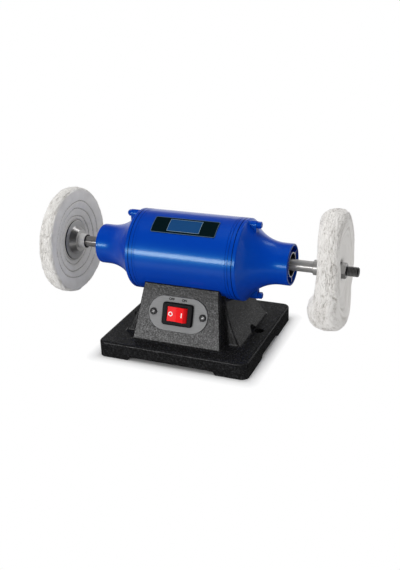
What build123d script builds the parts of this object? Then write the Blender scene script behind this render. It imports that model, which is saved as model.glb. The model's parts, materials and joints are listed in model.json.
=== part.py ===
from build123d import *
import math
import os

# A twin-ended bench polishing machine. It stands on Z = 0, X runs along its spindle and its switch faces -Y.
# Sizes are in millimetres and angles in degrees.

# Fits shared by pieces that seat on, slide into or run in each other
seat_gap = 0.05
slip_gap = 0.1
press_gap = 0.02
saddle_gap = 0.2

# Base casting: slab foot
base_length = 213.0
base_depth = 191.5
slab_height = 22.5
deck_thickness = 5.0
slab_wall = 6.0
slab_corner = 10.0
slab_edge = 3.0
foot_height = 5.0
foot_length = 46.5
foot_depth = 64.0
foot_ramp = 3.0

# Base casting: flared pedestal and saddle
axis_height = 125.0
motor_radius = 54.9
pedestal_foot_length = 167.0
pedestal_waist_length = 115.0
pedestal_foot_depth = 111.0
pedestal_lean = 14.5
pedestal_sag = 4.0
pedestal_edge = 1.5
pedestal_side_wall = 8.0
pedestal_face_wall = 6.0
saddle_wrap = 19.5
saddle_wall = 6.0

# Base casting: switch box on the front
tower_foot_length = 127.0
tower_top_length = 106.4
tower_reach = 76.3
tower_wrap = 26.4
tower_lip = 1.2
tower_wall = 5.0
tower_edge = 1.5
foot_cove = 4.0

# Bench bolts
bench_bolt_pitch = 182.0
bench_hole_radius = 6.5
bench_boss_radius = 11.0
scoop_radius = 12.0

# Bottom cover
cover_lift = 1.0
cover_thickness = 1.2
cover_gap = 0.5
cover_screw_inset = 19.0
cover_post_radius = 5.0
cover_screw_radius = 2.0
cover_head_radius = 3.8
cover_head_height = 2.2
cover_screw_grip = 7.0

# Motor tube, name plate and stator
tube_length = 127.0
tube_wall = 2.0
name_plate_length = 91.2
name_plate_from = 15.4
name_plate_to = 43.6
name_plate_thickness = 0.6
name_plate_corner = 2.5
stator_length = 54.0
stator_bore_radius = 30.5
slot_count = 24
slot_mouth = 2.4
slot_width = 5.0
slot_lip = 1.8
slot_depth = 14.0
coil_reach = 18.0
coil_inner_radius = 33.5
coil_outer_radius = 46.0
coil_round = 5.0
coil_bar_gap = 0.3

# End bells
bell_edge = 0.5
bell_line_offset = 3.6
bell_line_width = 0.5
bell_line_depth = 0.3
bell_groove_offset = 8.7
bell_groove_width = 0.9
bell_groove_depth = 0.8
bell_rim_width = 14.1
bell_rim_wall = 5.5
bell_wall = 3.5
spigot_length = 6.0
shoulder_round = 1.6
flare_end = 125.0
nose_end = 137.5
nose_radius = 27.4
nose_wall = 2.6
nose_round = 1.2
tunnel_radius = 16.5
tunnel_wall = 1.5
tunnel_inset = 1.0
bell_web = 3.5
bell_rib_count = 3
bell_rib_thickness = 2.0
bell_rib_inset = 1.5
bearing_boss_wall = 4.5
bearing_boss_lip = 1.0

# Tie bolts and the ears they pull on
tie_circle_radius = 49.5
tie_bolt_radius = 2.5
tie_head_flats = 8.0
tie_head_height = 6.0
tie_nut_height = 3.6
tie_notch_gap = 0.9
ear_radius = 5.0
ear_end = 90.0
ear_root = 12.0

# Bolts between base and motor, and the hole for the motor's leads
mount_bolt_pitch = 88.0
mount_bolt_angle = 24.0
mount_bolt_radius = 3.0
mount_head_flats = 10.0
mount_head_height = 4.0
mount_pad_length = 14.0
mount_pad_width = 18.0
mount_pad_thickness = 4.2
lead_hole_x = 36.0
lead_hole_angle = 38.0
lead_hole_radius = 5.5
grommet_wall = 1.6
grommet_flange = 2.2
grommet_flange_thickness = 1.6

# Spindle
shaft_radius = 7.5
shaft_core_radius = 10.0
thread_radius = 6.0
thread_start = 176.0
spindle_end = 223.0
spindle_chamfer = 1.0

# Rotor
air_gap = 0.4
rotor_length = 55.0
rotor_ring_width = 5.5
rotor_ring_inner_radius = 19.0
fan_blade_count = 8
fan_blade_length = 8.0
fan_blade_thickness = 2.0
fan_blade_inset = 1.0

# Ball bearings, 15 x 35 x 11
bearing_outer_radius = 17.5
bearing_width = 11.0
bearing_front = 103.0
ball_circle_radius = 12.5
ball_radius = 3.0
ball_count = 8
ball_gap = 0.06
race_land = 1.9
race_land_step = 0.2
cage_width = 2.4
cage_thickness = 1.6
retaining_ring_width = 1.1
retaining_ring_height = 3.0
retaining_ring_opening = 40.0

# Dished inner flanges
flange_radius = 28.0
flange_rim_x = 183.6
flange_thickness = 2.2
flange_dish_radius = 20.5
flange_dome_radius = 15.5
flange_dome_height = 8.0
collar_radius = 10.0
collar_end = 165.5
flange_hub_setback = 1.6

# Buffs, washers and nuts
buff_hub_thickness = 9.4
buff_hole_gap = 0.4
buff_seat_gap = 0.2
buff_pinch_gap = 0.8
buff_swell_sag = 0.8
left_buff_radius = 75.0
left_buff_face_radius = 73.0
left_buff_thickness = 18.4
left_buff_shift = -1.1
left_buff_swell_radii = (60.0, 34.0)
right_buff_radius = 76.0
right_buff_face_radius = 69.0
right_buff_thickness = 15.0
right_buff_shift = 2.8
right_buff_swell_radii = (42.0, 18.0)
leaf_radius = 75.0
leaf_face_radius = 71.0
leaf_root_radius = 24.0
leaf_thickness = 10.0
inner_leaf_shift = -0.5
inner_leaf_tilt = -6.0
low_leaf_towards = 140.0
top_leaf_towards = 340.0
outer_leaf_shift = 8.5
outer_leaf_tilt = 5.0
outer_leaf_towards = 110.0
washer_radius = 12.0
washer_thickness = 2.0
nut_flats = 18.0
nut_height = 10.0
nut_chamfer_angle = 30.0
nut_bevel_share = 0.97

# Switch on the sloping front
panel_height = 41.9
switch_plate_length = 84.0
switch_plate_height = 46.0
switch_plate_thickness = 1.6
switch_plate_edge = 0.5
plate_screw_pitch = 70.6
plate_screw_radius = 2.0
plate_screw_head_radius = 4.7
plate_screw_head_height = 2.0
plate_screw_grip = 8.0
plate_screw_recess = 4.6
plate_screw_slot = 1.3
plate_screw_recess_depth = 1.1
screw_turn = 25.0
bezel_length = 43.4
bezel_height = 30.2
bezel_corner = 4.0
bezel_thickness = 3.5
bezel_edge = 1.6
rocker_length = 29.2
rocker_height = 19.2
rocker_gap = 0.3
rocker_travel = 20.0
rocker_top = 5.5
rocker_bottom = 3.0
rocker_pivot_depth = 1.4
rocker_pin_radius = 1.5
rocker_pin_inset = 0.3
switch_box_wall = 1.4
switch_box_depth = 24.0
terminal_width = 6.3
terminal_thickness = 0.8
terminal_length = 9.0
terminal_pitch_x = 16.0
terminal_pitch_y = 10.0

# Pieces on the bottom cover
capacitor_radius = 15.0
capacitor_length = 58.0
capacitor_y = 22.0
capacitor_edge = 1.5
clamp_thickness = 1.2
clamp_width = 14.0
clamp_tab = 11.0
clamp_screw_radius = 1.75
clamp_head_radius = 3.2
clamp_head_height = 1.9
block_gap = 8.0
block_y = 12.0
block_length = 34.0
block_width = 16.0
block_height = 13.0
block_step = 4.0
block_pole_pitch = 10.5
block_well_radius = 2.4
block_well_depth = 6.0

# Bush in the rear face for a mains cord
bush_height = 17.0
bush_hole_radius = 8.0
bush_bore_radius = 4.0
bush_flange = 4.0
bush_flange_thickness = 3.0
bush_lock = 1.6

# Places worked out from the sizes above
deck_underside = slab_height - deck_thickness
pedestal_top = axis_height - motor_radius + saddle_wrap
tower_top = axis_height - motor_radius + tower_wrap
saddle_radius = motor_radius + saddle_gap
saddle_outer = saddle_radius + saddle_wall
tower_top_y = math.sqrt(motor_radius**2 - (axis_height - tower_top) ** 2) + tower_lip
panel_lean = math.degrees(math.atan2(tower_reach - tower_top_y, tower_top - slab_height))
cover_bottom = foot_height + cover_lift
cover_top = cover_bottom + cover_thickness
tube_bore = motor_radius - tube_wall
bell_start = tube_length / 2
shoulder_x = bell_start + bell_rim_width
bearing_back = bearing_front - bearing_width
shoulder_drop = motor_radius - nose_radius
flare_arc = ((flare_end - shoulder_x) ** 2 + shoulder_drop**2) / (2 * shoulder_drop)
flare_centre = nose_radius + flare_arc
flange_face = flange_rim_x + flange_thickness
hub_inner = flange_face + buff_seat_gap
hub_outer = hub_inner + buff_hub_thickness
washer_face = hub_outer + buff_seat_gap
nut_face = washer_face + washer_thickness
rotor_radius = stator_bore_radius - air_gap

# Frames: the spindle's profiles are drawn as (x, radius), the switch sits on the sloping panel
spindle_plane = Plane(origin=(0, 0, axis_height), x_dir=(1, 0, 0), z_dir=(0, -1, 0))
spindle_axis = Axis((0, 0, axis_height), (1, 0, 0))
lean_cos = math.cos(math.radians(panel_lean))
lean_sin = math.sin(math.radians(panel_lean))
panel_y = -tower_reach + panel_height * lean_sin
panel_z = slab_height + panel_height * lean_cos
panel = Plane(origin=(0, panel_y, panel_z), x_dir=(1, 0, 0), z_dir=(0, -lean_cos, lean_sin))
plate_front = panel.offset(seat_gap + switch_plate_thickness)
bezel_seat = plate_front.offset(seat_gap)


def cross_plane(x):
    """A plane square to the spindle at x, with local x along Y and local y along Z."""
    return Plane(origin=(x, 0, axis_height), x_dir=(0, 1, 0), z_dir=(1, 0, 0))


def skin_plane(x, angle, radius):
    """A plane touching a cylinder about the spindle, angle degrees round from straight down towards -Y."""
    outward = (0, -math.sin(math.radians(angle)), -math.cos(math.radians(angle)))
    origin = (x, radius * outward[1], axis_height + radius * outward[2])
    return Plane(origin=origin, x_dir=(1, 0, 0), z_dir=outward)


def flare_radius(x, depth=0.0):
    """Radius of the trumpet at x, at a depth under its outer skin."""
    return flare_centre - math.sqrt((flare_arc + depth) ** 2 - (flare_end - x) ** 2)


def pedestal_form(side_wall, face_wall, floor):
    """The flared block under the motor, drawn in by the wall thicknesses given."""
    foot_x = pedestal_foot_length / 2 - side_wall
    waist_x = pedestal_waist_length / 2 - side_wall
    foot_y = pedestal_foot_depth / 2 - face_wall / math.cos(math.radians(pedestal_lean))
    top_y = foot_y - (pedestal_top - slab_height) * math.tan(math.radians(pedestal_lean))
    with BuildPart() as form:
        with BuildSketch(Plane.XZ):
            with BuildLine():
                Polyline((-foot_x, slab_height), (-foot_x, floor), (foot_x, floor), (foot_x, slab_height))
                SagittaArc((foot_x, slab_height), (waist_x, pedestal_top), pedestal_sag)
                Line((waist_x, pedestal_top), (-waist_x, pedestal_top))
                SagittaArc((-waist_x, pedestal_top), (-foot_x, slab_height), pedestal_sag)
            make_face()
        extrude(amount=pedestal_foot_depth, both=True)
        with BuildSketch(Plane.YZ):
            with BuildLine():
                Polyline(
                    (-foot_y, floor),
                    (foot_y, floor),
                    (foot_y, slab_height),
                    (top_y, pedestal_top),
                    (-top_y, pedestal_top),
                    (-foot_y, slab_height),
                    close=True,
                )
            make_face()
        extrude(amount=pedestal_foot_length, both=True, mode=Mode.INTERSECT)
    return form.part


def tower_form(wall, floor):
    """The switch box in front of the pedestal, drawn in by a wall thickness."""
    foot_x = tower_foot_length / 2 - wall
    top_x = tower_top_length / 2 - wall
    foot_y = -tower_reach + wall / lean_cos
    top_y = -tower_top_y + wall / lean_cos
    with BuildPart() as form:
        with BuildSketch(Plane.XZ):
            with BuildLine():
                Polyline(
                    (-foot_x, slab_height),
                    (-foot_x, floor),
                    (foot_x, floor),
                    (foot_x, slab_height),
                    (top_x, tower_top),
                    (-top_x, tower_top),
                    close=True,
                )
            make_face()
        extrude(amount=tower_reach, both=True)
        with BuildSketch(Plane.YZ):
            with BuildLine():
                Polyline(
                    (foot_y, slab_height),
                    (foot_y, floor),
                    (0, floor),
                    (0, tower_top),
                    (top_y, tower_top),
                    close=True,
                )
            make_face()
        extrude(amount=tower_foot_length, both=True, mode=Mode.INTERSECT)
    return form.part


def finish(block, name):
    """Names a piece and writes its STEP file."""
    block.part.label = name
    export_step(block.part, f"parts/{name}.step")


os.makedirs("parts", exist_ok=True)

# Base casting, from its slab, pedestal and switch box
with BuildPart() as slab:
    with BuildSketch(Plane.XY):
        RectangleRounded(base_length, base_depth, slab_corner)
    extrude(amount=slab_height)
    fillet(slab.faces().sort_by(Axis.Z)[-1].edges(), radius=slab_edge)

with BuildPart() as pedestal:
    add(pedestal_form(0, 0, deck_underside))
    flare_edges = pedestal.edges().filter_by(GeomType.LINE, reverse=True)
    fillet(flare_edges, radius=pedestal_edge)

with BuildPart() as tower:
    add(tower_form(0, deck_underside))
    front_face = tower.faces().sort_by(lambda face: face.normal_at().dot(panel.z_dir))[-1]
    fillet(front_face.edges().sort_by(Axis.Z)[1:], radius=tower_edge)

with BuildPart() as hollow:
    add(pedestal_form(pedestal_side_wall, pedestal_face_wall, 0))
    add(tower_form(tower_wall, 0))
    with Locations((0, 0, axis_height)):
        Cylinder(saddle_outer, base_length, rotation=(0, 90, 0), mode=Mode.SUBTRACT)

rear_lean = math.radians(pedestal_lean)
rear_y = pedestal_foot_depth / 2 - bush_height * math.sin(rear_lean)
rear_z = slab_height + bush_height * math.cos(rear_lean)
rear_out = (0, math.cos(rear_lean), math.sin(rear_lean))
rear = Plane(origin=(0, rear_y, rear_z), x_dir=(-1, 0, 0), z_dir=rear_out)
tray_length = base_length - 2 * slab_wall
tray_depth = base_depth - 2 * slab_wall
bench_bolts = [(-bench_bolt_pitch / 2, 0), (bench_bolt_pitch / 2, 0)]
post_x = tray_length / 2 - cover_screw_inset + cover_post_radius
post_y = tray_depth / 2 - cover_screw_inset
cover_bolts = [(-post_x, -post_y), (post_x, -post_y), (-post_x, post_y), (post_x, post_y)]
mount_bolts = [(sx * mount_bolt_pitch / 2, sa * mount_bolt_angle) for sx in (-1, 1) for sa in (-1, 1)]
switch_box_length = rocker_length + 2 * rocker_gap + 2 * switch_box_wall
switch_box_height = rocker_height + 2 * rocker_gap + 2 * switch_box_wall

with BuildPart() as base_casting:
    add(slab.part)
    add(pedestal.part)
    add(tower.part)
    # A cove round the foot of pedestal and switch box
    deck_low, deck_high = slab_height - seat_gap, slab_height + seat_gap
    deck_edges = base_casting.edges().filter_by_position(Axis.Z, deck_low, deck_high)
    foot_line = deck_edges.filter_by(lambda edge: abs(edge.center().X) <= pedestal_foot_length / 2)
    foot_line = foot_line.filter_by(lambda edge: abs(edge.center().Y) <= tower_reach)
    fillet(foot_line, radius=foot_cove)
    # The saddle, the hollow under it and the tray under the deck
    with Locations((0, 0, axis_height)):
        Cylinder(saddle_radius, base_length, rotation=(0, 90, 0), mode=Mode.SUBTRACT)
    add(hollow.part, mode=Mode.SUBTRACT)
    with BuildSketch(Plane.XY):
        RectangleRounded(tray_length, tray_depth, slab_corner - slab_wall)
    extrude(amount=deck_underside, mode=Mode.SUBTRACT)
    # Bosses for the bench bolts and posts for the cover's screws
    with BuildSketch(Plane.XY.offset(foot_height)):
        with Locations(*bench_bolts):
            Circle(bench_boss_radius)
    extrude(amount=deck_underside - foot_height + deck_thickness / 2)
    with BuildSketch(Plane.XY.offset(cover_top + seat_gap)):
        with Locations(*cover_bolts):
            Circle(cover_post_radius)
    extrude(amount=deck_underside - cover_top - seat_gap + deck_thickness / 2)
    with BuildSketch(Plane.XY.offset(cover_top)):
        with Locations(*cover_bolts):
            Circle(cover_screw_radius)
    extrude(amount=cover_screw_grip, mode=Mode.SUBTRACT)
    # Gaps between the four corner feet
    gap_x = base_length / 2 - foot_length
    gap_y = base_depth / 2 - foot_depth
    with BuildSketch(Plane.XZ):
        with BuildLine():
            Polyline(
                (-gap_x - foot_ramp, 0),
                (gap_x + foot_ramp, 0),
                (gap_x, foot_height),
                (-gap_x, foot_height),
                close=True,
            )
        make_face()
    extrude(amount=base_depth, both=True, mode=Mode.SUBTRACT)
    with BuildSketch(Plane.YZ):
        with BuildLine():
            Polyline(
                (-gap_y - foot_ramp, 0),
                (gap_y + foot_ramp, 0),
                (gap_y, foot_height),
                (-gap_y, foot_height),
                close=True,
            )
        make_face()
    extrude(amount=base_length, both=True, mode=Mode.SUBTRACT)
    # Bench bolt holes, with a scoop in the flare to clear each bolt head
    with BuildSketch(Plane.XY):
        with Locations(*bench_bolts):
            Circle(bench_hole_radius)
    extrude(amount=slab_height, mode=Mode.SUBTRACT)
    with BuildSketch(Plane.XY.offset(slab_height)):
        with Locations(*bench_bolts):
            Circle(scoop_radius)
    extrude(amount=pedestal_top - slab_height, mode=Mode.SUBTRACT)
    # Window and screw holes for the switch
    with BuildSketch(panel):
        Rectangle(switch_box_length + 2 * slip_gap, switch_box_height + 2 * slip_gap)
        with Locations((-plate_screw_pitch / 2, 0), (plate_screw_pitch / 2, 0)):
            Circle(plate_screw_radius)
    extrude(amount=-2 * tower_wall, mode=Mode.SUBTRACT)
    # Holes for the motor's bolts, its leads and the cord bush
    for bolt_x, bolt_angle in mount_bolts:
        with BuildSketch(skin_plane(bolt_x, bolt_angle, tube_bore)):
            Circle(mount_bolt_radius + slip_gap)
        extrude(amount=saddle_outer - tube_bore + saddle_wall, mode=Mode.SUBTRACT)
    with BuildSketch(skin_plane(lead_hole_x, lead_hole_angle, tube_bore)):
        Circle(lead_hole_radius)
    extrude(amount=saddle_outer - tube_bore + saddle_wall, mode=Mode.SUBTRACT)
    with BuildSketch(rear):
        Circle(bush_hole_radius)
    extrude(amount=-2 * pedestal_face_wall, mode=Mode.SUBTRACT)
finish(base_casting, "base_casting")

with BuildPart() as bottom_cover:
    with BuildSketch(Plane.XY.offset(cover_bottom)):
        RectangleRounded(tray_length - 2 * cover_gap, tray_depth - 2 * cover_gap, slab_corner - slab_wall)
        with Locations(*bench_bolts):
            Circle(bench_boss_radius + cover_gap, mode=Mode.SUBTRACT)
        with Locations(*cover_bolts):
            Circle(cover_screw_radius + slip_gap, mode=Mode.SUBTRACT)
        clamp_reach = capacitor_radius + slip_gap + clamp_thickness + clamp_tab / 2
        with Locations((0, capacitor_y - clamp_reach), (0, capacitor_y + clamp_reach)):
            Circle(clamp_screw_radius + slip_gap, mode=Mode.SUBTRACT)
    extrude(amount=cover_thickness)
finish(bottom_cover, "bottom_cover")

with BuildPart() as bottom_cover_screws:
    with BuildSketch(Plane.XY.offset(cover_bottom - seat_gap)):
        with Locations(*cover_bolts):
            Circle(cover_head_radius)
    extrude(amount=-cover_head_height)
    fillet(bottom_cover_screws.edges().group_by(Axis.Z)[0], radius=cover_head_height / 2)
    with BuildSketch(Plane.XY.offset(cover_bottom - seat_gap)):
        with Locations(*cover_bolts):
            Circle(cover_screw_radius - press_gap)
    extrude(amount=cover_thickness + cover_screw_grip)
finish(bottom_cover_screws, "bottom_cover_screws")

# Motor tube with the holes that match the base
with BuildPart() as motor_tube:
    with BuildSketch(spindle_plane):
        with Locations((0, motor_radius - tube_wall / 2)):
            Rectangle(tube_length, tube_wall)
    revolve(axis=spindle_axis)
    for bolt_x, bolt_angle in mount_bolts:
        with BuildSketch(skin_plane(bolt_x, bolt_angle, motor_radius)):
            Circle(mount_bolt_radius + slip_gap)
        extrude(amount=-2 * tube_wall, mode=Mode.SUBTRACT)
    with BuildSketch(skin_plane(lead_hole_x, lead_hole_angle, motor_radius)):
        Circle(lead_hole_radius)
    extrude(amount=-2 * tube_wall, mode=Mode.SUBTRACT)
finish(motor_tube, "motor_tube")

# Bare name plate, bent to the tube
plate_turn = math.radians((name_plate_from + name_plate_to) / 2)
plate_out = (0, -math.sin(plate_turn), math.cos(plate_turn))
plate_chord = 2 * motor_radius * math.sin(math.radians((name_plate_to - name_plate_from) / 2))
with BuildPart() as name_plate:
    with BuildSketch(spindle_plane):
        with Locations((0, motor_radius + seat_gap + name_plate_thickness / 2)):
            Rectangle(name_plate_length, name_plate_thickness)
    revolve(axis=spindle_axis)
    with BuildSketch(Plane(origin=(0, 0, axis_height), x_dir=(1, 0, 0), z_dir=plate_out)):
        RectangleRounded(name_plate_length, plate_chord, name_plate_corner)
    extrude(amount=2 * motor_radius, mode=Mode.INTERSECT)
finish(name_plate, "name_plate")

# Stator: a slotted core with notches for the tie bolts, and coils that run through its slots
with BuildPart() as stator_core:
    with BuildSketch(cross_plane(-stator_length / 2)):
        Circle(tube_bore - slip_gap)
        Circle(stator_bore_radius, mode=Mode.SUBTRACT)
        with PolarLocations(0, slot_count, start_angle=180 / slot_count):
            with Locations((stator_bore_radius + slot_lip / 2, 0)):
                Rectangle(2 * slot_lip, slot_mouth, mode=Mode.SUBTRACT)
            with Locations((stator_bore_radius + slot_lip + slot_depth / 2, 0)):
                Rectangle(slot_depth, slot_width, mode=Mode.SUBTRACT)
        with Locations((0, tie_circle_radius), (0, -tie_circle_radius)):
            Circle(tie_bolt_radius + tie_notch_gap, mode=Mode.SUBTRACT)
    extrude(amount=stator_length)
finish(stator_core, "stator_core")

with BuildPart() as stator_windings:
    for side in (-1, 1):
        coil_middle = side * (stator_length / 2 + seat_gap + coil_reach / 2)
        with BuildSketch(spindle_plane):
            with Locations((coil_middle, (coil_inner_radius + coil_outer_radius) / 2)):
                RectangleRounded(coil_reach, coil_outer_radius - coil_inner_radius, coil_round)
        revolve(axis=spindle_axis)
    bar_depth = slot_depth - 2 * coil_bar_gap
    bar_length = stator_length + coil_reach
    with BuildSketch(cross_plane(-bar_length / 2)):
        with PolarLocations(0, slot_count, start_angle=180 / slot_count):
            with Locations((stator_bore_radius + slot_lip + slot_depth / 2, 0)):
                Rectangle(bar_depth, slot_width - 2 * coil_bar_gap)
    extrude(amount=bar_length)
finish(stator_windings, "stator_windings")

# End bells: trumpet shell, bearing seat, shaft tunnel with ribs, and two ears for the tie bolts
for side, name in ((-1, "left_end_bell"), (1, "right_end_bell")):
    line_x = bell_start + bell_line_offset
    groove_x = bell_start + bell_groove_offset
    spigot_x = bell_start - spigot_length
    rim_inner = motor_radius - bell_rim_wall
    inner_reach = math.sqrt((flare_arc + bell_wall) ** 2 - (flare_centre - rim_inner) ** 2)
    inner_x = flare_end - inner_reach
    flare_middle = (shoulder_x + flare_end) / 2
    inner_middle = (inner_x + bearing_front) / 2
    tunnel_front = nose_end - tunnel_inset
    web_front = bearing_front + bell_web
    tunnel_bore = tunnel_radius - tunnel_wall
    boss_radius = bearing_outer_radius + bearing_boss_wall
    recess_radius = nose_radius - nose_wall
    with BuildPart() as bell:
        # Outer form, solid to the axis
        with BuildSketch(spindle_plane):
            with BuildLine():
                Polyline(
                    (side * nose_end, 0),
                    (side * spigot_x, 0),
                    (side * spigot_x, tube_bore - slip_gap),
                    (side * bell_start, tube_bore - slip_gap),
                    (side * bell_start, motor_radius - bell_edge),
                    (side * (bell_start + bell_edge), motor_radius),
                    (side * line_x, motor_radius),
                    (side * line_x, motor_radius - bell_line_depth),
                    (side * (line_x + bell_line_width), motor_radius - bell_line_depth),
                    (side * (line_x + bell_line_width), motor_radius),
                    (side * groove_x, motor_radius),
                    (side * groove_x, motor_radius - bell_groove_depth),
                    (side * (groove_x + bell_groove_width), motor_radius - bell_groove_depth),
                    (side * (groove_x + bell_groove_width), motor_radius),
                    (side * shoulder_x, motor_radius),
                )
                ThreePointArc(
                    (side * shoulder_x, motor_radius),
                    (side * flare_middle, flare_radius(flare_middle)),
                    (side * flare_end, nose_radius),
                )
                nose_corner = (side * nose_end, nose_radius)
                Polyline((side * flare_end, nose_radius), nose_corner, (side * nose_end, 0))
            make_face()
        revolve(axis=spindle_axis)
        rims = bell.edges().filter_by(GeomType.CIRCLE)
        shoulder = rims.sort_by(lambda edge: abs(edge.arc_center.X - side * shoulder_x))[0]
        fillet(shoulder, radius=shoulder_round)
        nose = bell.edges().filter_by(GeomType.CIRCLE).sort_by(lambda edge: side * edge.arc_center.X)[-1]
        fillet(nose, radius=nose_round)
        # Ears that reach up and down from the trumpet
        ear_length = ear_end - shoulder_x + ear_root
        with BuildSketch(cross_plane(side * ear_end)):
            for up in (-1, 1):
                with Locations((0, up * tie_circle_radius)):
                    Circle(ear_radius)
                ear_foot = flare_radius(ear_end) - bell_wall / 2
                with Locations((0, up * (ear_foot + tie_circle_radius) / 2)):
                    Rectangle(2 * ear_radius, tie_circle_radius - ear_foot)
        extrude(amount=-side * ear_length)
        # Motor side: the hollow, the bearing seat and the shaft's way through
        with BuildSketch(spindle_plane):
            with BuildLine():
                Polyline(
                    (side * nose_end, 0),
                    (side * spigot_x, 0),
                    (side * spigot_x, rim_inner),
                    (side * inner_x, rim_inner),
                )
                ThreePointArc(
                    (side * inner_x, rim_inner),
                    (side * inner_middle, flare_radius(inner_middle, bell_wall)),
                    (side * bearing_front, flare_radius(bearing_front, bell_wall)),
                )
                Polyline(
                    (side * bearing_front, flare_radius(bearing_front, bell_wall)),
                    (side * bearing_front, boss_radius),
                    (side * (bearing_back - bearing_boss_lip), boss_radius),
                    (side * (bearing_back - bearing_boss_lip), bearing_outer_radius + press_gap),
                    (side * bearing_front, bearing_outer_radius + press_gap),
                    (side * bearing_front, tunnel_bore),
                    (side * nose_end, tunnel_bore),
                    (side * nose_end, 0),
                )
            make_face()
        revolve(axis=spindle_axis, mode=Mode.SUBTRACT)
        # Nose side: the ring-shaped recess round the tunnel, and its ribs
        with BuildSketch(spindle_plane):
            with BuildLine():
                Polyline(
                    (side * web_front, tunnel_radius),
                    (side * web_front, recess_radius),
                    (side * nose_end, recess_radius),
                    (side * nose_end, tunnel_bore),
                    (side * tunnel_front, tunnel_bore),
                    (side * tunnel_front, tunnel_radius),
                    close=True,
                )
            make_face()
        revolve(axis=spindle_axis, mode=Mode.SUBTRACT)
        rib_height = recess_radius - tunnel_radius + nose_wall / 2 + tunnel_wall / 2
        with BuildSketch(cross_plane(side * web_front)):
            with PolarLocations(0, bell_rib_count, start_angle=-90):
                with Locations((tunnel_radius - tunnel_wall / 2 + rib_height / 2, 0)):
                    Rectangle(rib_height, bell_rib_thickness)
        extrude(amount=side * (nose_end - bell_rib_inset - web_front))
        # Tie bolt holes
        with BuildSketch(cross_plane(side * spigot_x)):
            with Locations((0, tie_circle_radius), (0, -tie_circle_radius)):
                Circle(tie_bolt_radius + slip_gap)
        extrude(amount=side * (ear_end - spigot_x), mode=Mode.SUBTRACT)
    finish(bell, name)

# Tie bolts with hexagon heads on the right ears and dome nuts on the left ears
tie_places = [(0, tie_circle_radius), (0, -tie_circle_radius)]
tie_thread_end = -(ear_end + seat_gap + tie_nut_height)
with BuildPart() as tie_bolts:
    with BuildSketch(cross_plane(ear_end + seat_gap)):
        with Locations(*tie_places):
            RegularPolygon(tie_head_flats / 2, 6, major_radius=False)
    extrude(amount=tie_head_height)
    chamfer(tie_bolts.edges().group_by(Axis.X)[-1], length=tie_head_height / 8)
    with BuildSketch(cross_plane(tie_thread_end)):
        with Locations(*tie_places):
            Circle(tie_bolt_radius)
    extrude(amount=ear_end + seat_gap - tie_thread_end)
finish(tie_bolts, "tie_bolts")

with BuildPart() as tie_nuts:
    with BuildSketch(cross_plane(-ear_end - seat_gap)):
        with Locations(*tie_places):
            RegularPolygon(tie_head_flats / 2, 6, major_radius=False)
    extrude(amount=-tie_nut_height)
    dome_radius = tie_head_flats / 2
    dome_height = tie_head_height - tie_nut_height
    for up in (-1, 1):
        dome_axis = Axis((0, 0, axis_height + up * tie_circle_radius), (1, 0, 0))
        with BuildSketch(spindle_plane):
            with BuildLine():
                foot = -ear_end - seat_gap - tie_nut_height
                Line((foot, up * tie_circle_radius), (foot, up * tie_circle_radius + dome_radius))
                SagittaArc(
                    (foot, up * tie_circle_radius + dome_radius),
                    (foot - dome_height, up * tie_circle_radius),
                    -dome_height / 3,
                )
                Line((foot - dome_height, up * tie_circle_radius), (foot, up * tie_circle_radius))
            make_face()
        revolve(axis=dome_axis)
    with BuildSketch(cross_plane(-ear_end)):
        with Locations(*tie_places):
            Circle(tie_bolt_radius + press_gap)
    extrude(amount=-tie_nut_height - 2 * seat_gap, mode=Mode.SUBTRACT)
finish(tie_nuts, "tie_nuts")

# Bolts from inside the base into curved pads in the tube
with BuildPart() as motor_mount_bolts:
    for bolt_x, bolt_angle in mount_bolts:
        bolt_seat = skin_plane(bolt_x, bolt_angle, saddle_outer + seat_gap)
        with BuildSketch(bolt_seat):
            RegularPolygon(mount_head_flats / 2, 6, major_radius=False)
        extrude(amount=mount_head_height)
        with BuildSketch(bolt_seat):
            Circle(mount_bolt_radius)
        extrude(amount=-(saddle_outer - tube_bore + mount_pad_thickness))
finish(motor_mount_bolts, "motor_mount_bolts")

with BuildPart() as motor_mount_pads:
    for bolt_x, bolt_angle in mount_bolts:
        with BuildSketch(skin_plane(bolt_x, bolt_angle, tube_bore)):
            Rectangle(mount_pad_length, mount_pad_width)
            Circle(mount_bolt_radius + press_gap, mode=Mode.SUBTRACT)
        extrude(amount=-mount_pad_thickness)
    with Locations((0, 0, axis_height)):
        Cylinder(tube_bore - slip_gap, tube_length, rotation=(0, 90, 0), mode=Mode.INTERSECT)
finish(motor_mount_pads, "motor_mount_pads")

# Grommet through the saddle and the tube
with BuildPart() as motor_lead_grommet:
    grommet_radius = lead_hole_radius - slip_gap
    with BuildSketch(skin_plane(lead_hole_x, lead_hole_angle, tube_bore)):
        Circle(grommet_radius)
    extrude(amount=saddle_outer + seat_gap + grommet_flange_thickness - tube_bore)
    with BuildSketch(skin_plane(lead_hole_x, lead_hole_angle, saddle_outer + seat_gap)):
        Circle(lead_hole_radius + grommet_flange)
    extrude(amount=grommet_flange_thickness)
    with BuildSketch(skin_plane(lead_hole_x, lead_hole_angle, tube_bore - tube_wall)):
        Circle(grommet_radius - grommet_wall)
    extrude(amount=saddle_outer, mode=Mode.SUBTRACT)
finish(motor_lead_grommet, "motor_lead_grommet")

# Spindle shaft: a stout middle under the rotor, bearing journals and a thread at each end
with BuildPart() as spindle_shaft:
    with BuildSketch(spindle_plane):
        with BuildLine():
            Polyline(
                (0, 0),
                (0, shaft_core_radius),
                (bearing_back, shaft_core_radius),
                (bearing_back, shaft_radius),
                (thread_start, shaft_radius),
                (thread_start, thread_radius),
                (spindle_end - spindle_chamfer, thread_radius),
                (spindle_end, thread_radius - spindle_chamfer),
                (spindle_end, 0),
                close=True,
            )
        make_face()
    revolve(axis=spindle_axis)
    mirror(about=Plane.YZ)
finish(spindle_shaft, "spindle_shaft")

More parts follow.
